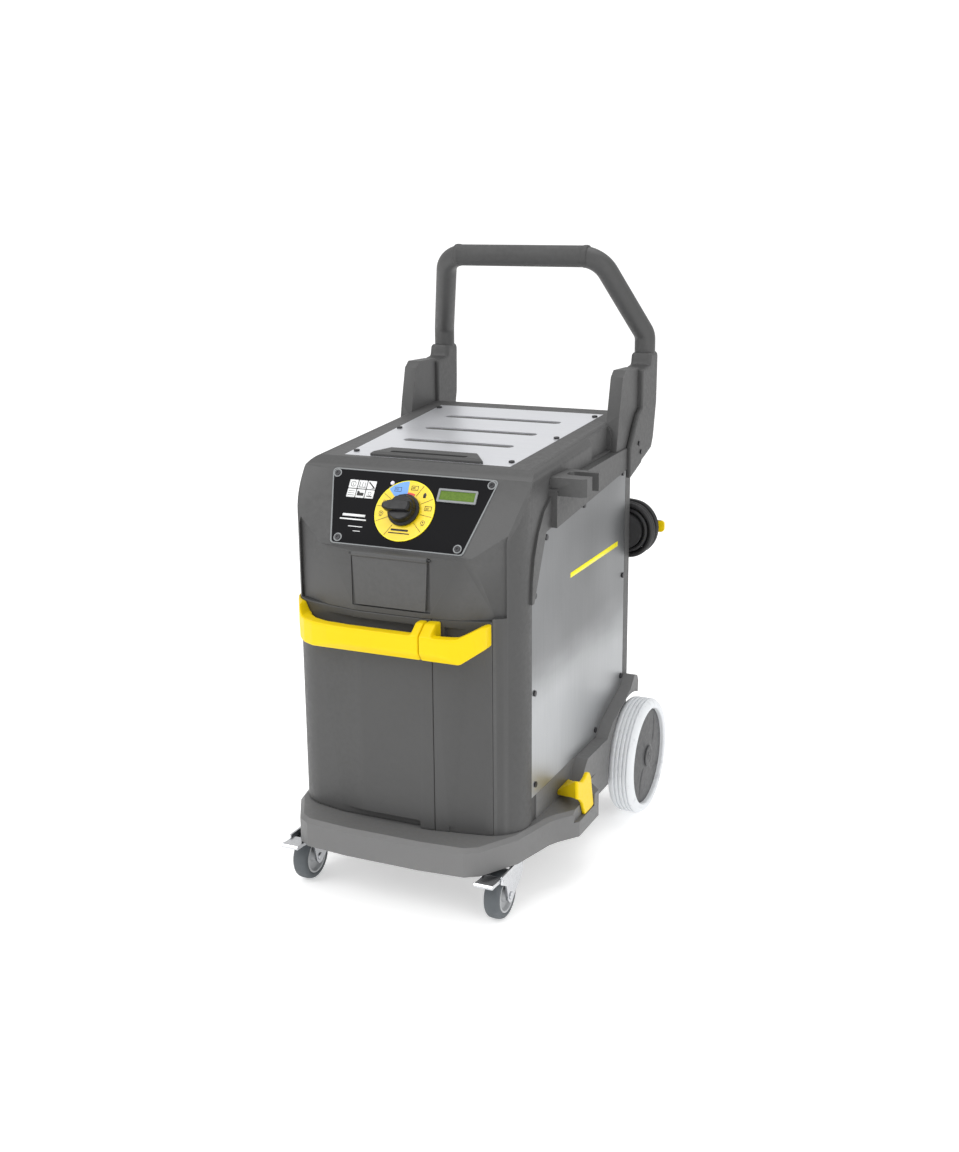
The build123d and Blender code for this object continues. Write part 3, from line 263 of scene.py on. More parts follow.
M["pump"] = plastic("pump_plastic", (0.035, 0.035, 0.038), vary=0.1, rough=(0.5, 0.6))
M["board"] = plastic("board_green", (0.015, 0.11, 0.035), vary=0.2, rough=(0.3, 0.5), grain=400, grain_strength=0.3)
M["cord"] = rubber("cord_black", (0.012, 0.012, 0.013), vary=0.2, rough=(0.42, 0.6), grain=800, strength=0.15)
M["white"] = plastic("print_white", (0.70, 0.71, 0.72), vary=0.03, rough=(0.4, 0.5))
M["blue"] = plastic("print_blue", (0.11, 0.28, 0.62), vary=0.05, rough=(0.35, 0.45))
M["red"] = plastic("print_red", (0.60, 0.03, 0.02), vary=0.05, rough=(0.35, 0.45))
M["ink"] = plastic("print_black", (0.015, 0.015, 0.015), vary=0.05, rough=(0.4, 0.5))
M["stripe"] = plastic("print_yellow", (0.88, 0.70, 0.0), vary=0.03, rough=(0.35, 0.45))


def lcd(name):
    m, nt, b = mat_new(name)
    vec = tex_coord(nt)
    g = noise_tex(nt, vec, 300, 2)
    r = ramp(nt, g, 0.3, 0.7, (0.085, 0.155, 0.018), (0.115, 0.195, 0.025))
    nt.links.new(r.outputs["Color"], b.inputs["Base Color"])
    b.inputs["Roughness"].default_value = 0.4
    b.inputs["Specular IOR Level"].default_value = 0.15
    b.inputs["Coat Weight"].default_value = 0.0
    b.inputs["Coat Roughness"].default_value = 0.04
    return m


def led_mat(name):
    m, nt, b = mat_new(name)
    vec = tex_coord(nt)
    g = noise_tex(nt, vec, 500, 2)
    r = ramp(nt, g, 0.3, 0.7, (0.62, 0.58, 0.74), (0.74, 0.70, 0.84))
    nt.links.new(r.outputs["Color"], b.inputs["Base Color"])
    b.inputs["Roughness"].default_value = 0.15
    b.inputs["Coat Weight"].default_value = 0.5
    return m


M["lcd"] = lcd("display_glass")
M["led"] = led_mat("led_lens")


def setmat(o, m):
    o.data.materials.clear()
    o.data.materials.append(m)


# ------------------------------------------------------------------ mesh helpers
def link(o):
    bpy.context.scene.collection.objects.link(o)
    return o


def obj_from(name, verts, faces, mat=None, smooth=True):
    me = bpy.data.meshes.new(name)
    me.from_pydata([Vector(v) * MM for v in verts], [], faces)
    me.validate()
    bm = bmesh.new()
    bm.from_mesh(me)
    bmesh.ops.recalc_face_normals(bm, faces=bm.faces)
    bm.to_mesh(me)
    bm.free()
    o = link(bpy.data.objects.new(name, me))
    for p in me.polygons:
        p.use_smooth = smooth
    if mat:
        me.materials.append(mat)
    return o


def mod_apply(o):
    """Applies the object's modifiers to its mesh."""
    dg = bpy.context.evaluated_depsgraph_get()
    me = bpy.data.meshes.new_from_object(o.evaluated_get(dg))
    o.modifiers.clear()
    old = o.data
    o.data = me
    bpy.data.meshes.remove(old)
    return o


def soften(o, width=1.5, segs=3, angle=28, dissolve=0.6, weld=True):
    """Rounds the hard edges of a mesh."""
    for p in o.data.polygons:
        p.use_smooth = True
    if weld:
        w = o.modifiers.new("weld", "WELD")
        w.merge_threshold = 0.00002
    if dissolve:
        d = o.modifiers.new("planar", "DECIMATE")
        d.decimate_type = "DISSOLVE"
        d.angle_limit = radians(dissolve)
    bv = o.modifiers.new("bevel", "BEVEL")
    bv.width = width * MM
    bv.segments = segs
    bv.limit_method = "ANGLE"
    bv.angle_limit = radians(angle)
    bv.use_clamp_overlap = True
    bv.harden_normals = False
    bv.miter_outer = "MITER_ARC"
    wn = o.modifiers.new("wn", "WEIGHTED_NORMAL")
    wn.keep_sharp = True
    wn.weight = 80
    return o


def bool_cut(o, cutter, op="DIFFERENCE"):
    bm = o.modifiers.new("cut", "BOOLEAN")
    bm.operation = op
    bm.object = cutter
    bm.solver = "EXACT"
    mod_apply(o)
    bpy.data.objects.remove(cutter)
    return o


def prism(name, pts, plane, z0, z1, mat=None):
    """Extrudes 2-D points; plane maps (u, v, w) to the row frame."""
    n = len(pts)
    vs = [plane(u, v, z0) for u, v in pts] + [plane(u, v, z1) for u, v in pts]
    fs = [tuple(range(n))[::-1], tuple(range(n, 2 * n))]
    for i in range(n):
        j = (i + 1) % n
        fs.append((i, j, n + j, n + i))
    return obj_from(name, vs, fs, mat)


PS, PC = 0.5616, 0.8276
TS, TC = 0.06945, 0.99759


def on_panel(u, s, w):
    return (u, -252 + PS * s - PC * w, 559 + PC * s + PS * w)


def on_top(u, t, w):
    return (u, -131 + TC * t - TS * w, 666 + TS * t + TC * w)


def on_yz(u, v, w):
    return (w, u, v)


def on_xy(u, v, w):
    return (u, v, w)


def on_xz(u, v, w):
    return (u, -w, v)


def revolve_x(name, prof, cy, cz, seg=96, mat=None, closed=True, x0=0.0, sx=1):
    """Profile points (x, r) turned about the X axis through (cy, cz)."""
    n = len(prof)
    vs, fs = [], []
    for k in range(seg):
        a = 2 * pi * k / seg
        for (x, r) in prof:
            vs.append((x0 + sx * x, cy + r * cos(a), cz + r * sin(a)))
    m = n if closed else n - 1
    for k in range(seg):
        k2 = (k + 1) % seg
        for i in range(m):
            j = (i + 1) % n
            fs.append((k * n + i, k * n + j, k2 * n + j, k2 * n + i))
    return obj_from(name, vs, fs, mat)


def round_prof(pts, rad, seg=4):
    """Rounds the corners of a closed 2-D polygon."""
    out = []
    n = len(pts)
    for i in range(n):
        p0, p1, p2 = (Vector(pts[i - 1]), Vector(pts[i]), Vector(pts[(i + 1) % n]))
        r = rad[i] if isinstance(rad, (list, tuple)) else rad
        a, b = (p0 - p1), (p2 - p1)
        la, lb = a.length, b.length
        if r <= 0 or la < 1e-6 or lb < 1e-6:
            out.append(tuple(p1))
            continue
        ang = a.angle(b)
        if ang > pi - 0.02:
            out.append(tuple(p1))
            continue
        d = min(r / math.tan(ang / 2), la * 0.48, lb * 0.48)
        q0, q2 = p1 + a / la * d, p1 + b / lb * d
        for k in range(seg + 1):
            t = k / seg
            out.append(tuple(q0 * (1 - t) ** 2 + p1 * 2 * t * (1 - t) + q2 * t * t))
    return out


def tube_mesh(name, path, radii, seg=40, mat=None, caps=True):
    """Round tube through path points with a radius at each."""
    P = [Vector(p) for p in path]
    n = len(P)
    T = []
    for i in range(n):
        a = P[max(0, i - 1)]
        b = P[min(n - 1, i + 1)]
        T.append((b - a).normalized())
    u = T[0].orthogonal().normalized()
    vs, fs = [], []
    for i in range(n):
        if i:
            q = T[i - 1].rotation_difference(T[i])
            u = (q @ u).normalized()
        w = T[i].cross(u).normalized()
        for k in range(seg):
            a = 2 * pi * k / seg
            vs.append(P[i] + (u * cos(a) + w * sin(a)) * radii[i])
    for i in range(n - 1):
        for k in range(seg):
            k2 = (k + 1) % seg
            fs.append((i * seg + k, i * seg + k2, (i + 1) * seg + k2, (i + 1) * seg + k))
    if caps:
        fs.append(tuple(range(seg))[::-1])
        fs.append(tuple((n - 1) * seg + k for k in range(seg)))
    return obj_from(name, vs, fs, mat)


def join(name, objs):
    """Joins meshes into one object."""
    bm = bmesh.new()
    mats = []
    for o in objs:
        me = o.data
        base = len(bm.faces)
        bm.from_mesh(me)
        bm.faces.ensure_lookup_table()
        mm = me.materials[0] if me.materials else None
        if mm not in mats:
            mats.append(mm)
        k = mats.index(mm)
        for f in list(bm.faces)[base:]:
            f.material_index = k
    me = bpy.data.meshes.new(name)
    bm.to_mesh(me)
    bm.free()
    for mm in mats:
        me.materials.append(mm)
    o = link(bpy.data.objects.new(name, me))
    for x in objs:
        old = x.data
        bpy.data.objects.remove(x)
        if old.users == 0:
            bpy.data.meshes.remove(old)
    return o


# ------------------------------------------------------------------ mains cord: lead-in, turns round the hooks, lead-out
CX, CZ = 177.5, 486.0
RI, RO = 36.0, 45.6
COL = [251.0, 260.4, 269.9, 279.4]
AR = 1.0 / 0.966


def station(kind, v, slot_yr):
    y, r = slot_yr
    if kind == "b":
        return (v, y, CZ - r)
    if kind == "t":
        return (v, y, CZ + r)
    side = 1 if kind == "r" else -1
    a = radians(v)
    rr = r if abs(v) == 90 else r * AR
    return (side * (CX + rr * cos(a)), y, CZ + rr * sin(a))


ring = [("r", -90), ("r", -60), ("r", -30), ("r", 0), ("r", 30), ("r", 60), ("r", 90), ("t", 120), ("t", 60), ("t", 0),
        ("t", -60), ("t", -120), ("l", 90), ("l", 60), ("l", 30), ("l", 0), ("l", -30), ("l", -60), ("l", -90),
        ("b", -130), ("b", -78), ("b", -26), ("b", 26), ("b", 76), ("b", 126)]
O1, O0, I0, I1, I2, I3, O3, O2 = ((COL[1], RO), (COL[0], RO), (COL[0], RI), (COL[1], RI), (COL[2], RI), (COL[3], RI),
                                  (COL[3], RO), (COL[2], RO))
# (slot on this turn, slot it leaves for, first station of the new slot)
turns = [(O1, O0, ("b", 76)), (O0, I0, ("b", 26)), (I0, I1, ("b", -26)), (I1, I2, ("b", -78)), (I2, I3, ("t", -120)),
         (I3, O3, ("t", -60)), (O3, O2, ("t", 0))]
cord_pts = [(80, 260.4, 328), (80, 260.4, 346), (79, 260.4, CZ - RO)]
cur = 0
slot_now = O1
seq = []
first = True
ti = 0
pos = 0
while True:
    st = ring[pos % len(ring)]
    if ti < len(turns) and st == turns[ti][2] and not (ti == 0 and len(seq) < 3):
        slot_now = turns[ti][1]
        ti += 1
    if ti == len(turns) and st == ("b", -130):
        break
    seq.append(station(st[0], st[1], slot_now))
    pos += 1
    if pos > 400:
        break
jit = random.Random(3)
for i, (x, y, z) in enumerate(seq):
    cord_pts.append((x, y, z))
cord_pts += [(-66, 270.0, CZ - RO), (-66, 270.0, 344), (-66, 270.0, 326)]
cu = bpy.data.curves.new("mains_cord_line", "CURVE")
cu.dimensions = "3D"
sp = cu.splines.new("NURBS")
sp.points.add(len(cord_pts) - 1)
for p, c in zip(sp.points, cord_pts):
    p.co = (c[0] * MM, c[1] * MM, c[2] * MM, 1)
sp.order_u = 3
sp.use_endpoint_u = True
sp.resolution_u = 6
cu.bevel_depth = 0.0045
cu.bevel_resolution = 4
cu.use_fill_caps = True
cord_obj = link(bpy.data.objects.new("mains_cable", cu))
cu.materials.append(M["cord"])
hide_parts("mains_cord", "mains_cord_coil")
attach(cord_obj, "machine")


def curve_len(o):
    me = bpy.data.meshes.new_from_object(o)
    return me


probe = cu.copy()
probe.bevel_depth = 0
po = bpy.data.objects.new("probe", probe)
link(po)
bpy.context.view_layer.update()
dgp = bpy.context.evaluated_depsgraph_get()
pm = bpy.data.meshes.new_from_object(po.evaluated_get(dgp))
bpy.data.objects.remove(po)
bpy.data.meshes.remove(pm)
bpy.data.curves.remove(probe)


# ------------------------------------------------------------------ panel graphics (all generic)
def flat_ring(name, r0, r1, a0, a1, w, mat, cx=0.0, cs=50.0, th=0.25, seg=24):
    vs, fs = [], []
    for k in range(seg + 1):
        a = radians(a0 + (a1 - a0) * k / seg)
        for r in (r0, r1):
            for h in (w, w + th):
                vs.append(on_panel(cx + r * sin(a), cs + r * cos(a), h))
    for k in range(seg):
        b, c = 4 * k, 4 * k + 4
        fs += [(b, b + 1, c + 1, c), (b + 2, c + 2, c + 3, b + 3), (b + 1, b + 3, c + 3, c + 1), (b, c, c + 2, b + 2)]
    fs += [(0, 2, 3, 1), (4 * seg, 4 * seg + 1, 4 * seg + 3, 4 * seg + 2)]
    return obj_from(name, vs, fs, mat, smooth=False)


def quad_bar(name, x0, s0, x1, s1, width, w, mat, th=0.2):
    d = Vector((x1 - x0, s1 - s0))
    n = Vector((-d.y, d.x)).normalized() * width / 2
    pts = [(x0 + n.x, s0 + n.y), (x0 - n.x, s0 - n.y), (x1 - n.x, s1 - n.y), (x1 + n.x, s1 + n.y)]
    return prism(name, pts, on_panel, w, w + th, mat)


def disc(name, cx, cs, r, w, mat, th=0.2, seg=24):
    return prism(name, [(cx + r * cos(2 * pi * k / seg), cs + r * sin(2 * pi * k / seg)) for k in range(seg)], on_panel, w, w + th, mat)


W0 = 2.05
ink, wht = [], []
blue = flat_ring("dial_blue_sector", 25.5, 46.5, -46, -4, W0, M["blue"])
red = flat_ring("dial_red_arc", 26.0, 29.0, -4, 22, W0 + 0.02, M["red"])
rim = flat_ring("dial_rim", 46.8, 47.8, 0, 359.9, W0 - 0.05, M["stripe"], seg=72)
for a in (-115, -84, -58, 28, 62, 98, 132, -150):
    t = radians(a)
    ink.append(quad_bar("tick%d" % a, 27 * sin(t), 50 + 27 * cos(t), 46.3 * sin(t), 50 + 46.3 * cos(t), 0.55, W0, M["ink"]))
for a, kind in ((12, 0), (45, 1), (80, 0), (115, 2), (-72, 3), (-100, 2), (-30, 0)):
    t = radians(a)
    cx, cs = 37.5 * sin(t), 50 + 37.5 * cos(t)
    col = M["ink"]
    if kind == 0:
        for (dx, dy, w_, h_) in ((0, 3.2, 11, 0.6), (0, -3.2, 11, 0.6), (-5.3, 0, 0.6, 6.4), (5.3, 0, 0.6, 6.4), (-1.5, 0.8, 5, 0.6),
                                 (-1.5, -1.0, 5, 0.6)):
            ink.append(prism("i", [(cx + dx - w_ / 2, cs + dy - h_ / 2), (cx + dx + w_ / 2, cs + dy - h_ / 2),
                                   (cx + dx + w_ / 2, cs + dy + h_ / 2), (cx + dx - w_ / 2, cs + dy + h_ / 2)], on_panel, W0 + 0.22, W0 + 0.4, col))
    elif kind == 1:
        ink.append(prism("i", [(cx - 2, cs - 4), (cx + 2, cs - 4), (cx + 2.6, cs + 1), (cx + 1, cs + 4), (cx - 1, cs + 4), (cx - 2.6, cs + 1)],
                         on_panel, W0, W0 + 0.2, col))
    elif kind == 2:
        ink.append(flat_ring("i", 2.9, 3.5, 0, 359.9, W0, col, cx, cs, 0.2))
        ink.append(quad_bar("i", cx - 2.5, cs - 4.4, cx + 2.5, cs - 4.4, 0.6, W0, col))
        ink.append(disc("i", cx, cs + 0.3, 1.1, W0, col))
    else:
        for k in (-1, 0, 1):
            ink.append(quad_bar("i", cx + k * 2.4, cs - 3, cx + k * 2.4 + 1.2, cs + 3, 0.7, W0, col))
ink.append(quad_bar("dial_bar", -17, 14.5, 17, 14.5, 1.6, W0, M["ink"]))
ink.append(quad_bar("dial_bar2", -14, 19.5, 14, 19.5, 3.0, W0, M["ink"]))
dial_ink = join("dial_marks", ink)
for o in (blue, red, rim, dial_ink):
    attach(o, "machine")

# pictogram tiles, 2 rows of 3, and two plain stripes
W1 = 0.62
tiles, marks = [], []
for r in range(2):
    for c in range(3):
        cx, cs = -95.5 + c * 15.4, 86.0 - r * 14.6
        pts = round_prof([(cx - 7.1, cs - 6.7), (cx + 7.1, cs - 6.7), (cx + 7.1, cs + 6.7), (cx - 7.1, cs + 6.7)], 0.8, 3)
        tiles.append(prism("t", pts, on_panel, W1, W1 + 0.12, M["white"]))
        k = r * 3 + c
        w = W1 + 0.13
        if k == 0:
            marks.append(flat_ring("m", 3.6, 4.4, 0, 359.9, w, M["ink"], cx, cs, 0.1))
            marks.append(quad_bar("m", cx, cs - 2.4, cx, cs + 2.4, 0.9, w, M["ink"], 0.1))
        elif k == 1:
            for d in (-4.5, 0, 4.5):
                marks.append(quad_bar("m", cx + d, cs - 3.5, cx + d, cs + 3.8, 0.8, w, M["ink"], 0.1))
            marks.append(quad_bar("m", cx - 6, cs - 4.4, cx + 6, cs - 4.4, 0.8, w, M["ink"], 0.1))
        elif k == 2:
            marks.append(quad_bar("m", cx - 5, cs + 4.5, cx + 5, cs - 4.0, 2.0, w, M["ink"], 0.1))
            marks.append(quad_bar("m", cx + 1, cs - 4.8, cx + 7, cs - 4.8, 0.8, w, M["ink"], 0.1))
        elif k == 3:
            for d in (-3.2, 0, 3.2):
                marks.append(quad_bar("m", cx - 5.5, cs + d, cx + 5.5, cs + d, 0.7, w, M["ink"], 0.1))
        elif k == 4:
            marks.append(prism("m", [(cx - 5.5, cs - 3.5), (cx + 5.5, cs - 3.5), (cx + 5.5, cs + 1.5), (cx - 1, cs + 1.5), (cx - 3, cs + 4),
                                     (cx - 5.5, cs + 4)], on_panel, w, w + 0.1, M["ink"]))
        else:
            marks.append(flat_ring("m", 2.2, 2.9, 0, 359.9, w, M["ink"], cx, cs + 1.0, 0.1))
            marks.append(quad_bar("m", cx - 4.5, cs - 3.4, cx + 4.5, cs - 3.4, 1.6, w, M["ink"], 0.1))
stripes = [quad_bar("s1", -100, 36.5, -62, 36.5, 3.8, W1, M["white"], 0.12), quad_bar("s2", -103, 30.0, -59, 30.0, 2.2, W1, M["white"], 0.12),
           quad_bar("s3", -86, 19.0, -62, 19.0, 1.2, W1, M["white"], 0.12), quad_bar("s4", -76, 12.0, -64, 12.0, 1.0, W1, M["white"], 0.12)]
tile_obj = join("pictogram_tiles", tiles + stripes)
mark_obj = join("pictogram_marks", marks)
for o in (tile_obj, mark_obj):
    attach(o, "machine")

# thin light lip round the black plate, and washers under its screws
def loop_frame(name, outer, inner, plane, w0, w1, mat):
    n = len(outer)
    vs = [plane(u, v, w0) for u, v in outer] + [plane(u, v, w0) for u, v in inner]
    vs += [plane(u, v, w1) for u, v in outer] + [plane(u, v, w1) for u, v in inner]
    fs = []
    for i in range(n):
        j = (i + 1) % n
        fs += [(2 * n + i, 2 * n + j, 3 * n + j, 3 * n + i), (i, n + i, n + j, j), (i, j, 2 * n + j, 2 * n + i),
               (n + i, 3 * n + i, 3 * n + j, n + j)]
    return obj_from(name, vs, fs, mat, smooth=False)


po_ = round_prof([(-108.3, -10.2), (108.3, -10.2), (137.6, 110.2), (-137.6, 110.2)], 8, 6)
pi_ = round_prof([(-106.1, -8.1), (106.1, -8.1), (135.1, 108.1), (-135.1, 108.1)], 6, 6)
lip = loop_frame("panel_lip", po_, pi_, on_panel, -0.5, 1.3, M["trim"])
soften(lip, 0.5, 2, weld=True, dissolve=0)
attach(lip, "machine")

washers = []
for (cx, cs) in ((-127, 101.5), (127, 101.5), (-98, 0), (98, 0)):
    washers.append(flat_ring("w", 4.6, 6.6, 0, 359.9, 0.6, M["trim"], cx, cs, 0.5, 36))
washer_o = join("screw_washers", washers)
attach(washer_o, "machine")

# plain yellow stripe on the right side sheet
sp = round_prof([(-38, 473.0), (180, 474.0), (180, 482.4), (-38, 481.0)], 1.0, 3)
stripe_o = prism("side_stripe", sp, on_yz, 187.9, 188.25, M["stripe"])
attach(stripe_o, "machine")

# ------------------------------------------------------------------ selector knob
def knob_mesh():
    parts = []
    seg = 72
    prof = [(0, 12), (0, 24), (1.0, 25), (4.5, 25), (5.8, 23.8), (6.2, 21.6), (13.5, 20.4), (15.6, 19.4), (16.2, 17.5), (16.2, 0.01)]
    vs, fs = [], []
    for k in range(seg):
        a = 2 * pi * k / seg
        for (h, r) in prof:
            rr = r
            if 6.5 < h < 15.8 and k % 6 in (0, 1):
                rr = r - 0.55
            vs.append(on_panel(rr * sin(a), 50 + rr * cos(a), 2.6 + h))
    n = len(prof)
    for k in range(seg):
        k2 = (k + 1) % seg
        for i in range(n - 1):
            fs.append((k * n + i, k * n + i + 1, k2 * n + i + 1, k2 * n + i))
    body = obj_from("knob_body", vs, fs, M["knob"])
    parts.append(body)
    # pointer: a long rounded wing
    rows = []
    ang = radians(-87)
    for (h, grow) in ((9.0, 0.0), (17.0, -0.4), (21.5, -1.0), (23.6, -2.6), (24.2, -4.4)):
        row = []
        outline = round_prof([(-28.0, -3.4), (-17, -8.2), (17.5, -8.2), (19.5, 0), (17.5, 8.2), (-17, 8.2), (-28.0, 3.4)], 3.5, 5)
        for (u, v) in outline:
            L_ = hypot(u, v)
            f = max(0.2, (L_ + grow) / L_) if L_ > 0 else 1
            uu, vv = u * f, v * f
            # pointer along -u, turned to its place
            x = uu * cos(ang + pi / 2) - vv * sin(ang + pi / 2)
            y = uu * sin(ang + pi / 2) + vv * cos(ang + pi / 2)
            row.append(on_panel(x, 50 + y, 2.6 + h))
        rows.append(row)
    m = len(rows[0])
    vs = [v for r in rows for v in r]
    fs = []
    for j in range(len(rows) - 1):
        for i in range(m):
            i2 = (i + 1) % m
            fs.append((j * m + i, j * m + i2, (j + 1) * m + i2, (j + 1) * m + i))
    fs.append(tuple((len(rows) - 1) * m + i for i in range(m)))
    fs.append(tuple(range(m))[::-1])
    parts.append(obj_from("knob_wing", vs, fs, M["knob"]))
    o = join("knob_turned", parts)
    return o


knob_o = knob_mesh()
soften(knob_o, 0.5, 2, angle=40, dissolve=0)
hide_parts("selector_knob")
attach(knob_o, "knob")

# ------------------------------------------------------------------ rear wheels
def tyre_prof():
    pts = [(202.5, 83.2)]
    pts += [(202.2, 88.0), (202.6, 92.5), (204.2, 96.2), (207.6, 98.9), (211.6, 99.75)]
    for g in (215.5, 222.5, 229.5, 236.0):
        pts += [(g - 1.5, 99.9), (g - 1.1, 99.2), (g - 0.8, 97.2), (g + 0.8, 97.2), (g + 1.1, 99.2), (g + 1.5, 99.9)]
    pts += [(239.0, 99.5), (242.6, 97.4), (245.2, 94.2), (246.6, 90.4), (246.9, 87.2), (246.4, 85.0), (244.8, 83.6), (243.0, 83.2)]
    return pts


def hub_disc(name, sx):
    """Convex cover disc with three shallow curved ribs and a centre boss."""
    seg, rings = 180, [8.2, 12, 16, 19.5, 20.5, 24, 30, 36, 42, 48, 54, 60, 66, 71, 75, 78, 80, 81.6, 82.6, 83.0]
    vs, fs = [], []
    def hx(r, a):
        base = 242.4 - 3.2 * (r / 83.0) ** 2
        if r < 20:
            return base + 0.7
        if r > 81.0:
            return base - 0.9
        d = 0.0
        for k in range(4):
            c = radians(90 * k + 30) + 0.62 * (r - 20) / 60.0
            da = (a - c + pi) % (2 * pi) - pi
            w = abs(da) * r
            if 26 < r < 76 and w < 4.2:
                d = max(d, 1.5 * (1 - (w / 4.2) ** 2) * min(1.0, (r - 26) / 8.0, (76 - r) / 8.0))
        return base - d * 0.9
    for k in range(seg):
        a = 2 * pi * k / seg
        for r in rings:
            vs.append((sx * hx(r, a), 199 + r * cos(a), 100 + r * sin(a)))
    n = len(rings)
    for k in range(seg):
        k2 = (k + 1) % seg
        for i in range(n - 1):
            fs.append((k * n + i, k * n + i + 1, k2 * n + i + 1, k2 * n + i))
    # back: rim wall, inner dish and bore
    back = [(sx * 238.2, 83.0), (sx * 206, 83.0), (sx * 206, 77), (sx * 214, 72), (sx * 216, 26), (sx * 204.5, 23), (sx * 204.5, 8.2)]
    b0 = len(vs)
    m = len(back)
    for k in range(seg):
        a = 2 * pi * k / seg
        for (x, r) in back:
            vs.append((x, 199 + r * cos(a), 100 + r * sin(a)))
    for k in range(seg):
        k2 = (k + 1) % seg
        for i in range(m - 1):
            fs.append((b0 + k * m + i, b0 + k * m + i + 1, b0 + k2 * m + i + 1, b0 + k2 * m + i))
        fs.append((k * n + n - 1, k2 * n + n - 1, b0 + k2 * m, b0 + k * m))
        fs.append((k * n, b0 + k * m + m - 1, b0 + k2 * m + m - 1, k2 * n))
    return obj_from(name, vs, fs, M["hub"])


for side, sx in (("right", 1), ("left", -1)):
    t = revolve_x("rear_tyre_" + side, tyre_prof(), 199, 100, 144, M["tyre"], sx=sx)
    soften(t, 0.5, 2, angle=50, dissolve=0)
    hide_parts("tyre_" + side)
    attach(t, "wheel_" + side)
    h = hub_disc("rear_hub_" + side, sx)
    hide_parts("wheel_hub_" + side)
    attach(h, "wheel_" + side)
    cpf = [(243.0, 17.6), (243.4, 18.4), (244.2, 18.6), (245.0, 17.6), (245.4, 15.0), (245.6, 12.0), (245.2, 10.6), (245.2, 7.0),
           (245.8, 5.8), (245.8, 0.01), (242.9, 0.01)]
    c = revolve_x("rear_cap_" + side, cpf, 199, 100, 64, M["hub"], sx=sx)
    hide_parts("hub_cap_" + side)
    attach(c, "wheel_" + side)

# ------------------------------------------------------------------ castor wheels
for side, sx in (("right", 1), ("left", -1)):
    cx = sx * 164.0
    prof = [(-11.8, 27.2), (-12.3, 30.5), (-11.8, 33.4), (-10.0, 35.6), (-7.2, 36.9), (-3.5, 37.45), (0, 37.5), (3.5, 37.45), (7.2, 36.9),
            (10.0, 35.6), (11.8, 33.4), (12.3, 30.5), (11.8, 27.2)]
    t = revolve_x("castor_tread_" + side, prof, -258, 37.5, 96, M["ctyre"], x0=cx)
    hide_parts("castor_tyre_" + side)
    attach(t, "castor_wheel_" + side)
    rimp = [(-11.9, 24.4), (-12.1, 27.1), (12.1, 27.1), (11.9, 24.4), (10.6, 24.0), (6.0, 22.6), (5.0, 20.5), (5.0, 13.0), (6.5, 11.2),
            (13.2, 9.4), (13.4, 8.6), (13.4, 4.2), (-13.4, 4.2), (-13.4, 8.6), (-13.2, 9.4), (-6.5, 11.2), (-5.0, 13.0), (-5.0, 20.5),
            (-6.0, 22.6), (-10.6, 24.0)]
    h = revolve_x("castor_rim_" + side, rimp, -258, 37.5, 96, M["chub"], x0=cx)
    soften(h, 0.35, 2, angle=40, dissolve=0)
    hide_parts("castor_hub_" + side)
    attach(h, "castor_wheel_" + side)

# ------------------------------------------------------------------ push handle: bent tube, thicker grip with end collars
def handle_path():
    P = [Vector(p) for p in ((188.5, 303, 776), (188.5, 303, 814), (137, 212, 946.4), (-137, 212, 946.4), (-188.5, 303, 814), (-188.5, 303, 776))]
    R = [0, 26, 44, 44, 26, 0]
    out = [P[0]]
    for i in range(1, len(P) - 1):
        a, b = (P[i - 1] - P[i]), (P[i + 1] - P[i])
        ang = a.angle(b)
        d = min(R[i] / math.tan(ang / 2), a.length * 0.9, b.length * 0.48)
        q0, q1 = P[i] + a.normalized() * d, P[i] + b.normalized() * d
        rr = d * math.tan(ang / 2)
        bis = (a.normalized() + b.normalized()).normalized()
        cen = P[i] + bis * (rr / sin(ang / 2))
        n = 14
        v0, v1 = q0 - cen, q1 - cen
        tot = v0.angle(v1)
        for k in range(n + 1):
            t = k / n
            v = (v0 * sin((1 - t) * tot) + v1 * sin(t * tot)) / sin(tot)
            out.append(cen + v)
    out.append(P[-1])
    return out


hp = handle_path()
dense, rad = [], []
for i in range(len(hp) - 1):
    a, b = hp[i], hp[i + 1]
    n = max(1, int((b - a).length / 3))
    for k in range(n):
        dense.append(a.lerp(b, k / n))
dense.append(hp[-1])
for q in dense:
    rad.append(17.4)
tube = tube_mesh("handle_bar", dense, rad, 48, M["handle"])
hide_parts("push_handle_tube")
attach(tube, "machine")
gx, gr = [], []
def add(x, r):
    gx.append((x, 212, 946.4))
    gr.append(r)
for sgn in (-1, 1):
    rng = [(120, 17.3), (119.2, 18.1), (117, 18.55), (113.5, 18.55), (111.6, 18.3), (111.0, 17.7), (106, 17.65)]
    if sgn == 1:
        rng = rng[::-1]
    if sgn == 1:
        for x in range(-96, 100, 6):
            add(x, 17.65)
    for x, r in rng:
        add(sgn * x, r)
grip_o = tube_mesh("bar_grip", gx, gr, 48, M["sleeve"])
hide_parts("handle_grip_sleeve")
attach(grip_o, "machine")

# ------------------------------------------------------------------ CAD nodes that keep their shape
def keep(node, mat, width=1.0, segs=3, angle=28, dissolve=0.6):
    o = N[node]
    if o.hide_render:
        return
    setmat(o, M[mat])
    if width:
        soften(o, width, segs, angle, dissolve)


def rounded(node, mat, voxel, steps):
    """Soft moulded edges: fine even mesh, then a light smoothing, both as modifiers."""
    o = N[node]
    if o.hide_render:
        return
    setmat(o, M[mat])
    r = o.modifiers.new("even", "REMESH")
    r.mode = "VOXEL"
    r.voxel_size = voxel
    r.use_smooth_shade = True
    q = o.modifiers.new("soft", "SMOOTH")
    q.factor = 0.5
    q.iterations = steps


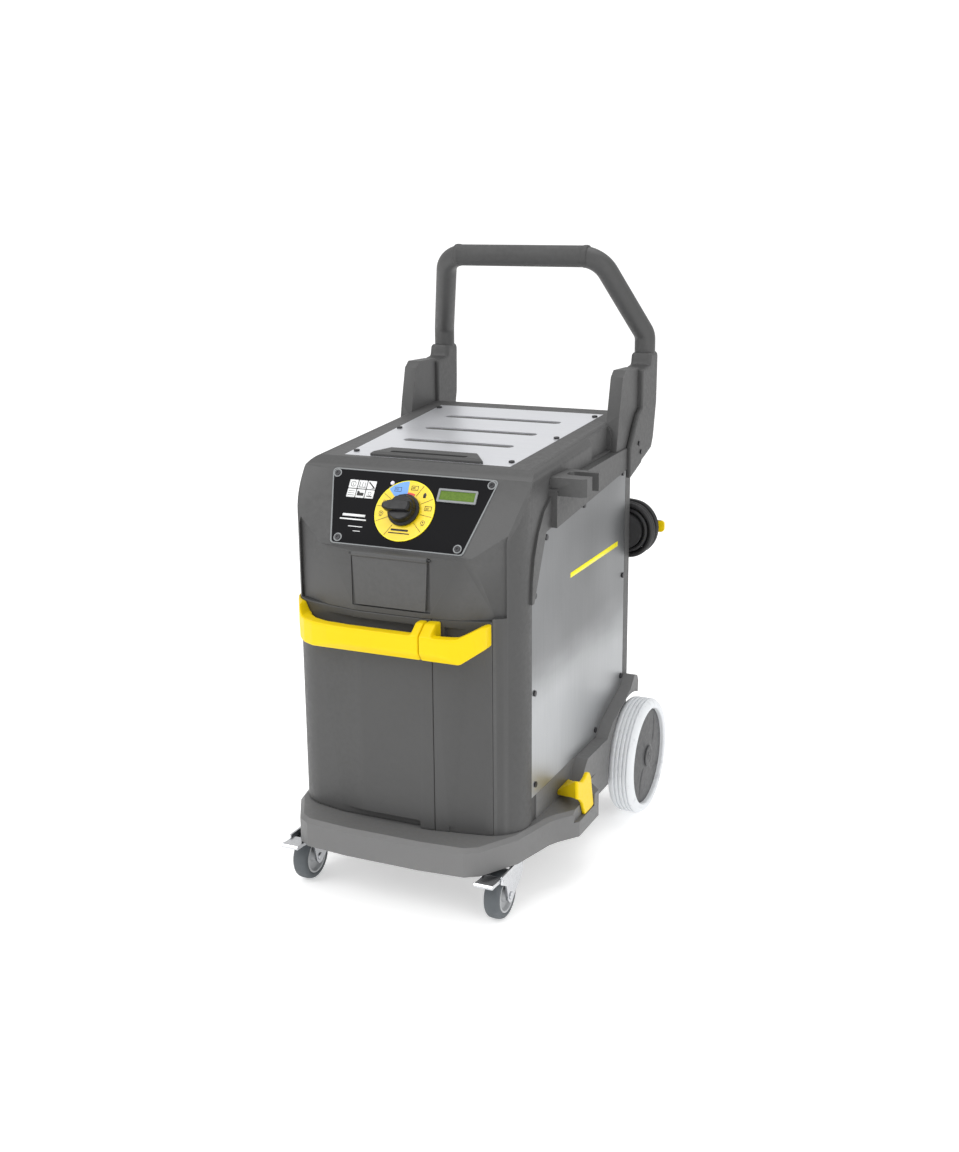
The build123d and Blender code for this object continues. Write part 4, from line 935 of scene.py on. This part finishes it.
keep("chassis_base", "base", 3.0, 4)
keep("front_housing", "body", 3.2, 4)
keep("rear_panel", "body2", 1.0)
keep("side_panel_right", "side", 0.4, 2)
keep("side_panel_left", "side", 0.4, 2)
keep("top_cover_plate", "top", 0.6, 2)
keep("carry_grip", "body2", 1.5)
keep("control_panel_plate", "panel", 0.6, 2)
keep("cover_screws", "screw", 0.5, 2)
keep("panel_screws", "screw", 0.5, 2)
keep("handle_screws", "screw", 0.6, 2)
keep("dial_disc", "dial", 0.3, 2)
keep("selector_knob", "knob", 1.2)
keep("display_frame", "trim", 0.4, 2)
keep("display_window", "lcd", 0.2, 2)
keep("status_led", "led", 0)
keep("socket_flap", "body", 1.2)
keep("flap_hinge_pin", "dark", 0.3, 2)
keep("hose_socket", "dark", 0.8)
keep("push_handle_tube", "handle", 0)
keep("handle_grip_sleeve", "sleeve", 0.4)
rounded("handle_foot_right", "body", 0.0016, 14)
rounded("handle_foot_left", "body", 0.0016, 14)
rounded("tube_rest", "yellow", 0.0012, 8)
keep("rear_axle", "pin", 0.8)
for s in ("right", "left"):
    keep("tyre_" + s, "tyre", 1.0)
    keep("wheel_hub_" + s, "hub", 1.5)
    keep("hub_cap_" + s, "hub", 0.8)
    keep("castor_fork_" + s, "zinc", 0.6, 2)
    keep("castor_tyre_" + s, "ctyre", 1.5)
    keep("castor_hub_" + s, "chub", 0.6)
    keep("castor_axle_" + s, "zinc", 0.5)
    keep("brake_pedal_" + s, "zinc", 1.0)
keep("castor_mounts", "body2", 0.5)
keep("waste_tank_body", "tank", 2.0)
keep("fresh_tank_body", "tank", 2.0)
rounded("waste_tank_handle", "yellow", 0.0013, 22)
rounded("fresh_tank_handle", "yellow", 0.0013, 22)
keep("waste_tank_lid", "lid", 1.0)
keep("fresh_tank_lid", "lid", 1.0)
keep("waste_tank_float", "lid", 1.5)
keep("boiler_vessel", "boiler", 1.0)
keep("boiler_heater", "boiler", 1.0)
keep("water_pump", "pump", 2.0)
keep("suction_housing", "pump", 2.0)
keep("suction_impeller", "pump", 0.5, 2)
keep("circuit_board", "board", 0.3, 2)
keep("cable_hooks", "yellow", 2.0)
hooks = N["cable_hooks"]
hooks.data.materials.append(M["dark"])
for pf in hooks.data.polygons:
    if abs(pf.center.x) < 0.228:
        pf.material_index = 1
keep("cable_gland", "cord", 1.2)
keep("mains_plug", "cord", 2.5)

# ------------------------------------------------------------------ floor, light
def plane_obj(name, size, z, mat):
    me = bpy.data.meshes.new(name)
    me.from_pydata([(-size, -size, z), (size, -size, z), (size, size, z), (-size, size, z)], [], [(0, 1, 2, 3)])
    o = link(bpy.data.objects.new(name, me))
    me.materials.append(mat)
    return o


fm, fnt, fb = mat_new("floor_white")
fvec = tex_coord(fnt)
fn = noise_tex(fnt, fvec, 3.0, 2.0)
fr = ramp(fnt, fn, 0.3, 0.7, (0.86, 0.86, 0.86), (0.88, 0.88, 0.88))
fnt.links.new(fr.outputs["Color"], fb.inputs["Base Color"])
fb.inputs["Roughness"].default_value = 0.7
fb.inputs["Emission Color"].default_value = (1, 1, 1, 1)
fb.inputs["Emission Strength"].default_value = 0.42
floor = plane_obj("floor", 40.0, 0.0, fm)

WORLD_S = 0.80
world = bpy.data.worlds.new("world")
bpy.context.scene.world = world
world.use_nodes = True
bg = world.node_tree.nodes["Background"]
bg.inputs["Color"].default_value = (1.0, 1.0, 1.0, 1)
bg.inputs["Strength"].default_value = WORLD_S
bg2 = world.node_tree.nodes.new("ShaderNodeBackground")
bg2.inputs["Color"].default_value = (1.0, 1.0, 1.0, 1)
bg2.inputs["Strength"].default_value = 1.25
lp = world.node_tree.nodes.new("ShaderNodeLightPath")
wm = world.node_tree.nodes.new("ShaderNodeMixShader")
world.node_tree.links.new(lp.outputs["Is Camera Ray"], wm.inputs[0])
world.node_tree.links.new(bg.outputs[0], wm.inputs[1])
world.node_tree.links.new(bg2.outputs[0], wm.inputs[2])
world.node_tree.links.new(wm.outputs[0], world.node_tree.nodes["World Output"].inputs["Surface"])


def area(name, loc, target, size, energy, color=(1, 1, 1)):
    ld = bpy.data.lights.new(name, "AREA")
    ld.shape = "RECTANGLE"
    ld.size, ld.size_y = size
    ld.energy = energy
    ld.color = color
    o = link(bpy.data.objects.new(name, ld))
    o.location = loc
    d = Vector(target) - Vector(loc)
    o.rotation_euler = d.to_track_quat("-Z", "Y").to_euler()
    return o


area("key", (-1.6, -2.4, 2.8), (0, 0, 0.4), (1.8, 1.8), 42)
area("fill", (3.0, -1.6, 1.6), (0, 0, 0.4), (2.2, 2.2), 22)
area("topl", (0.2, 0.4, 3.4), (0, 0, 0.4), (2.4, 2.4), 34)

bpy.context.scene.view_settings.view_transform = "Standard"
bpy.context.scene.view_settings.exposure = 0.0
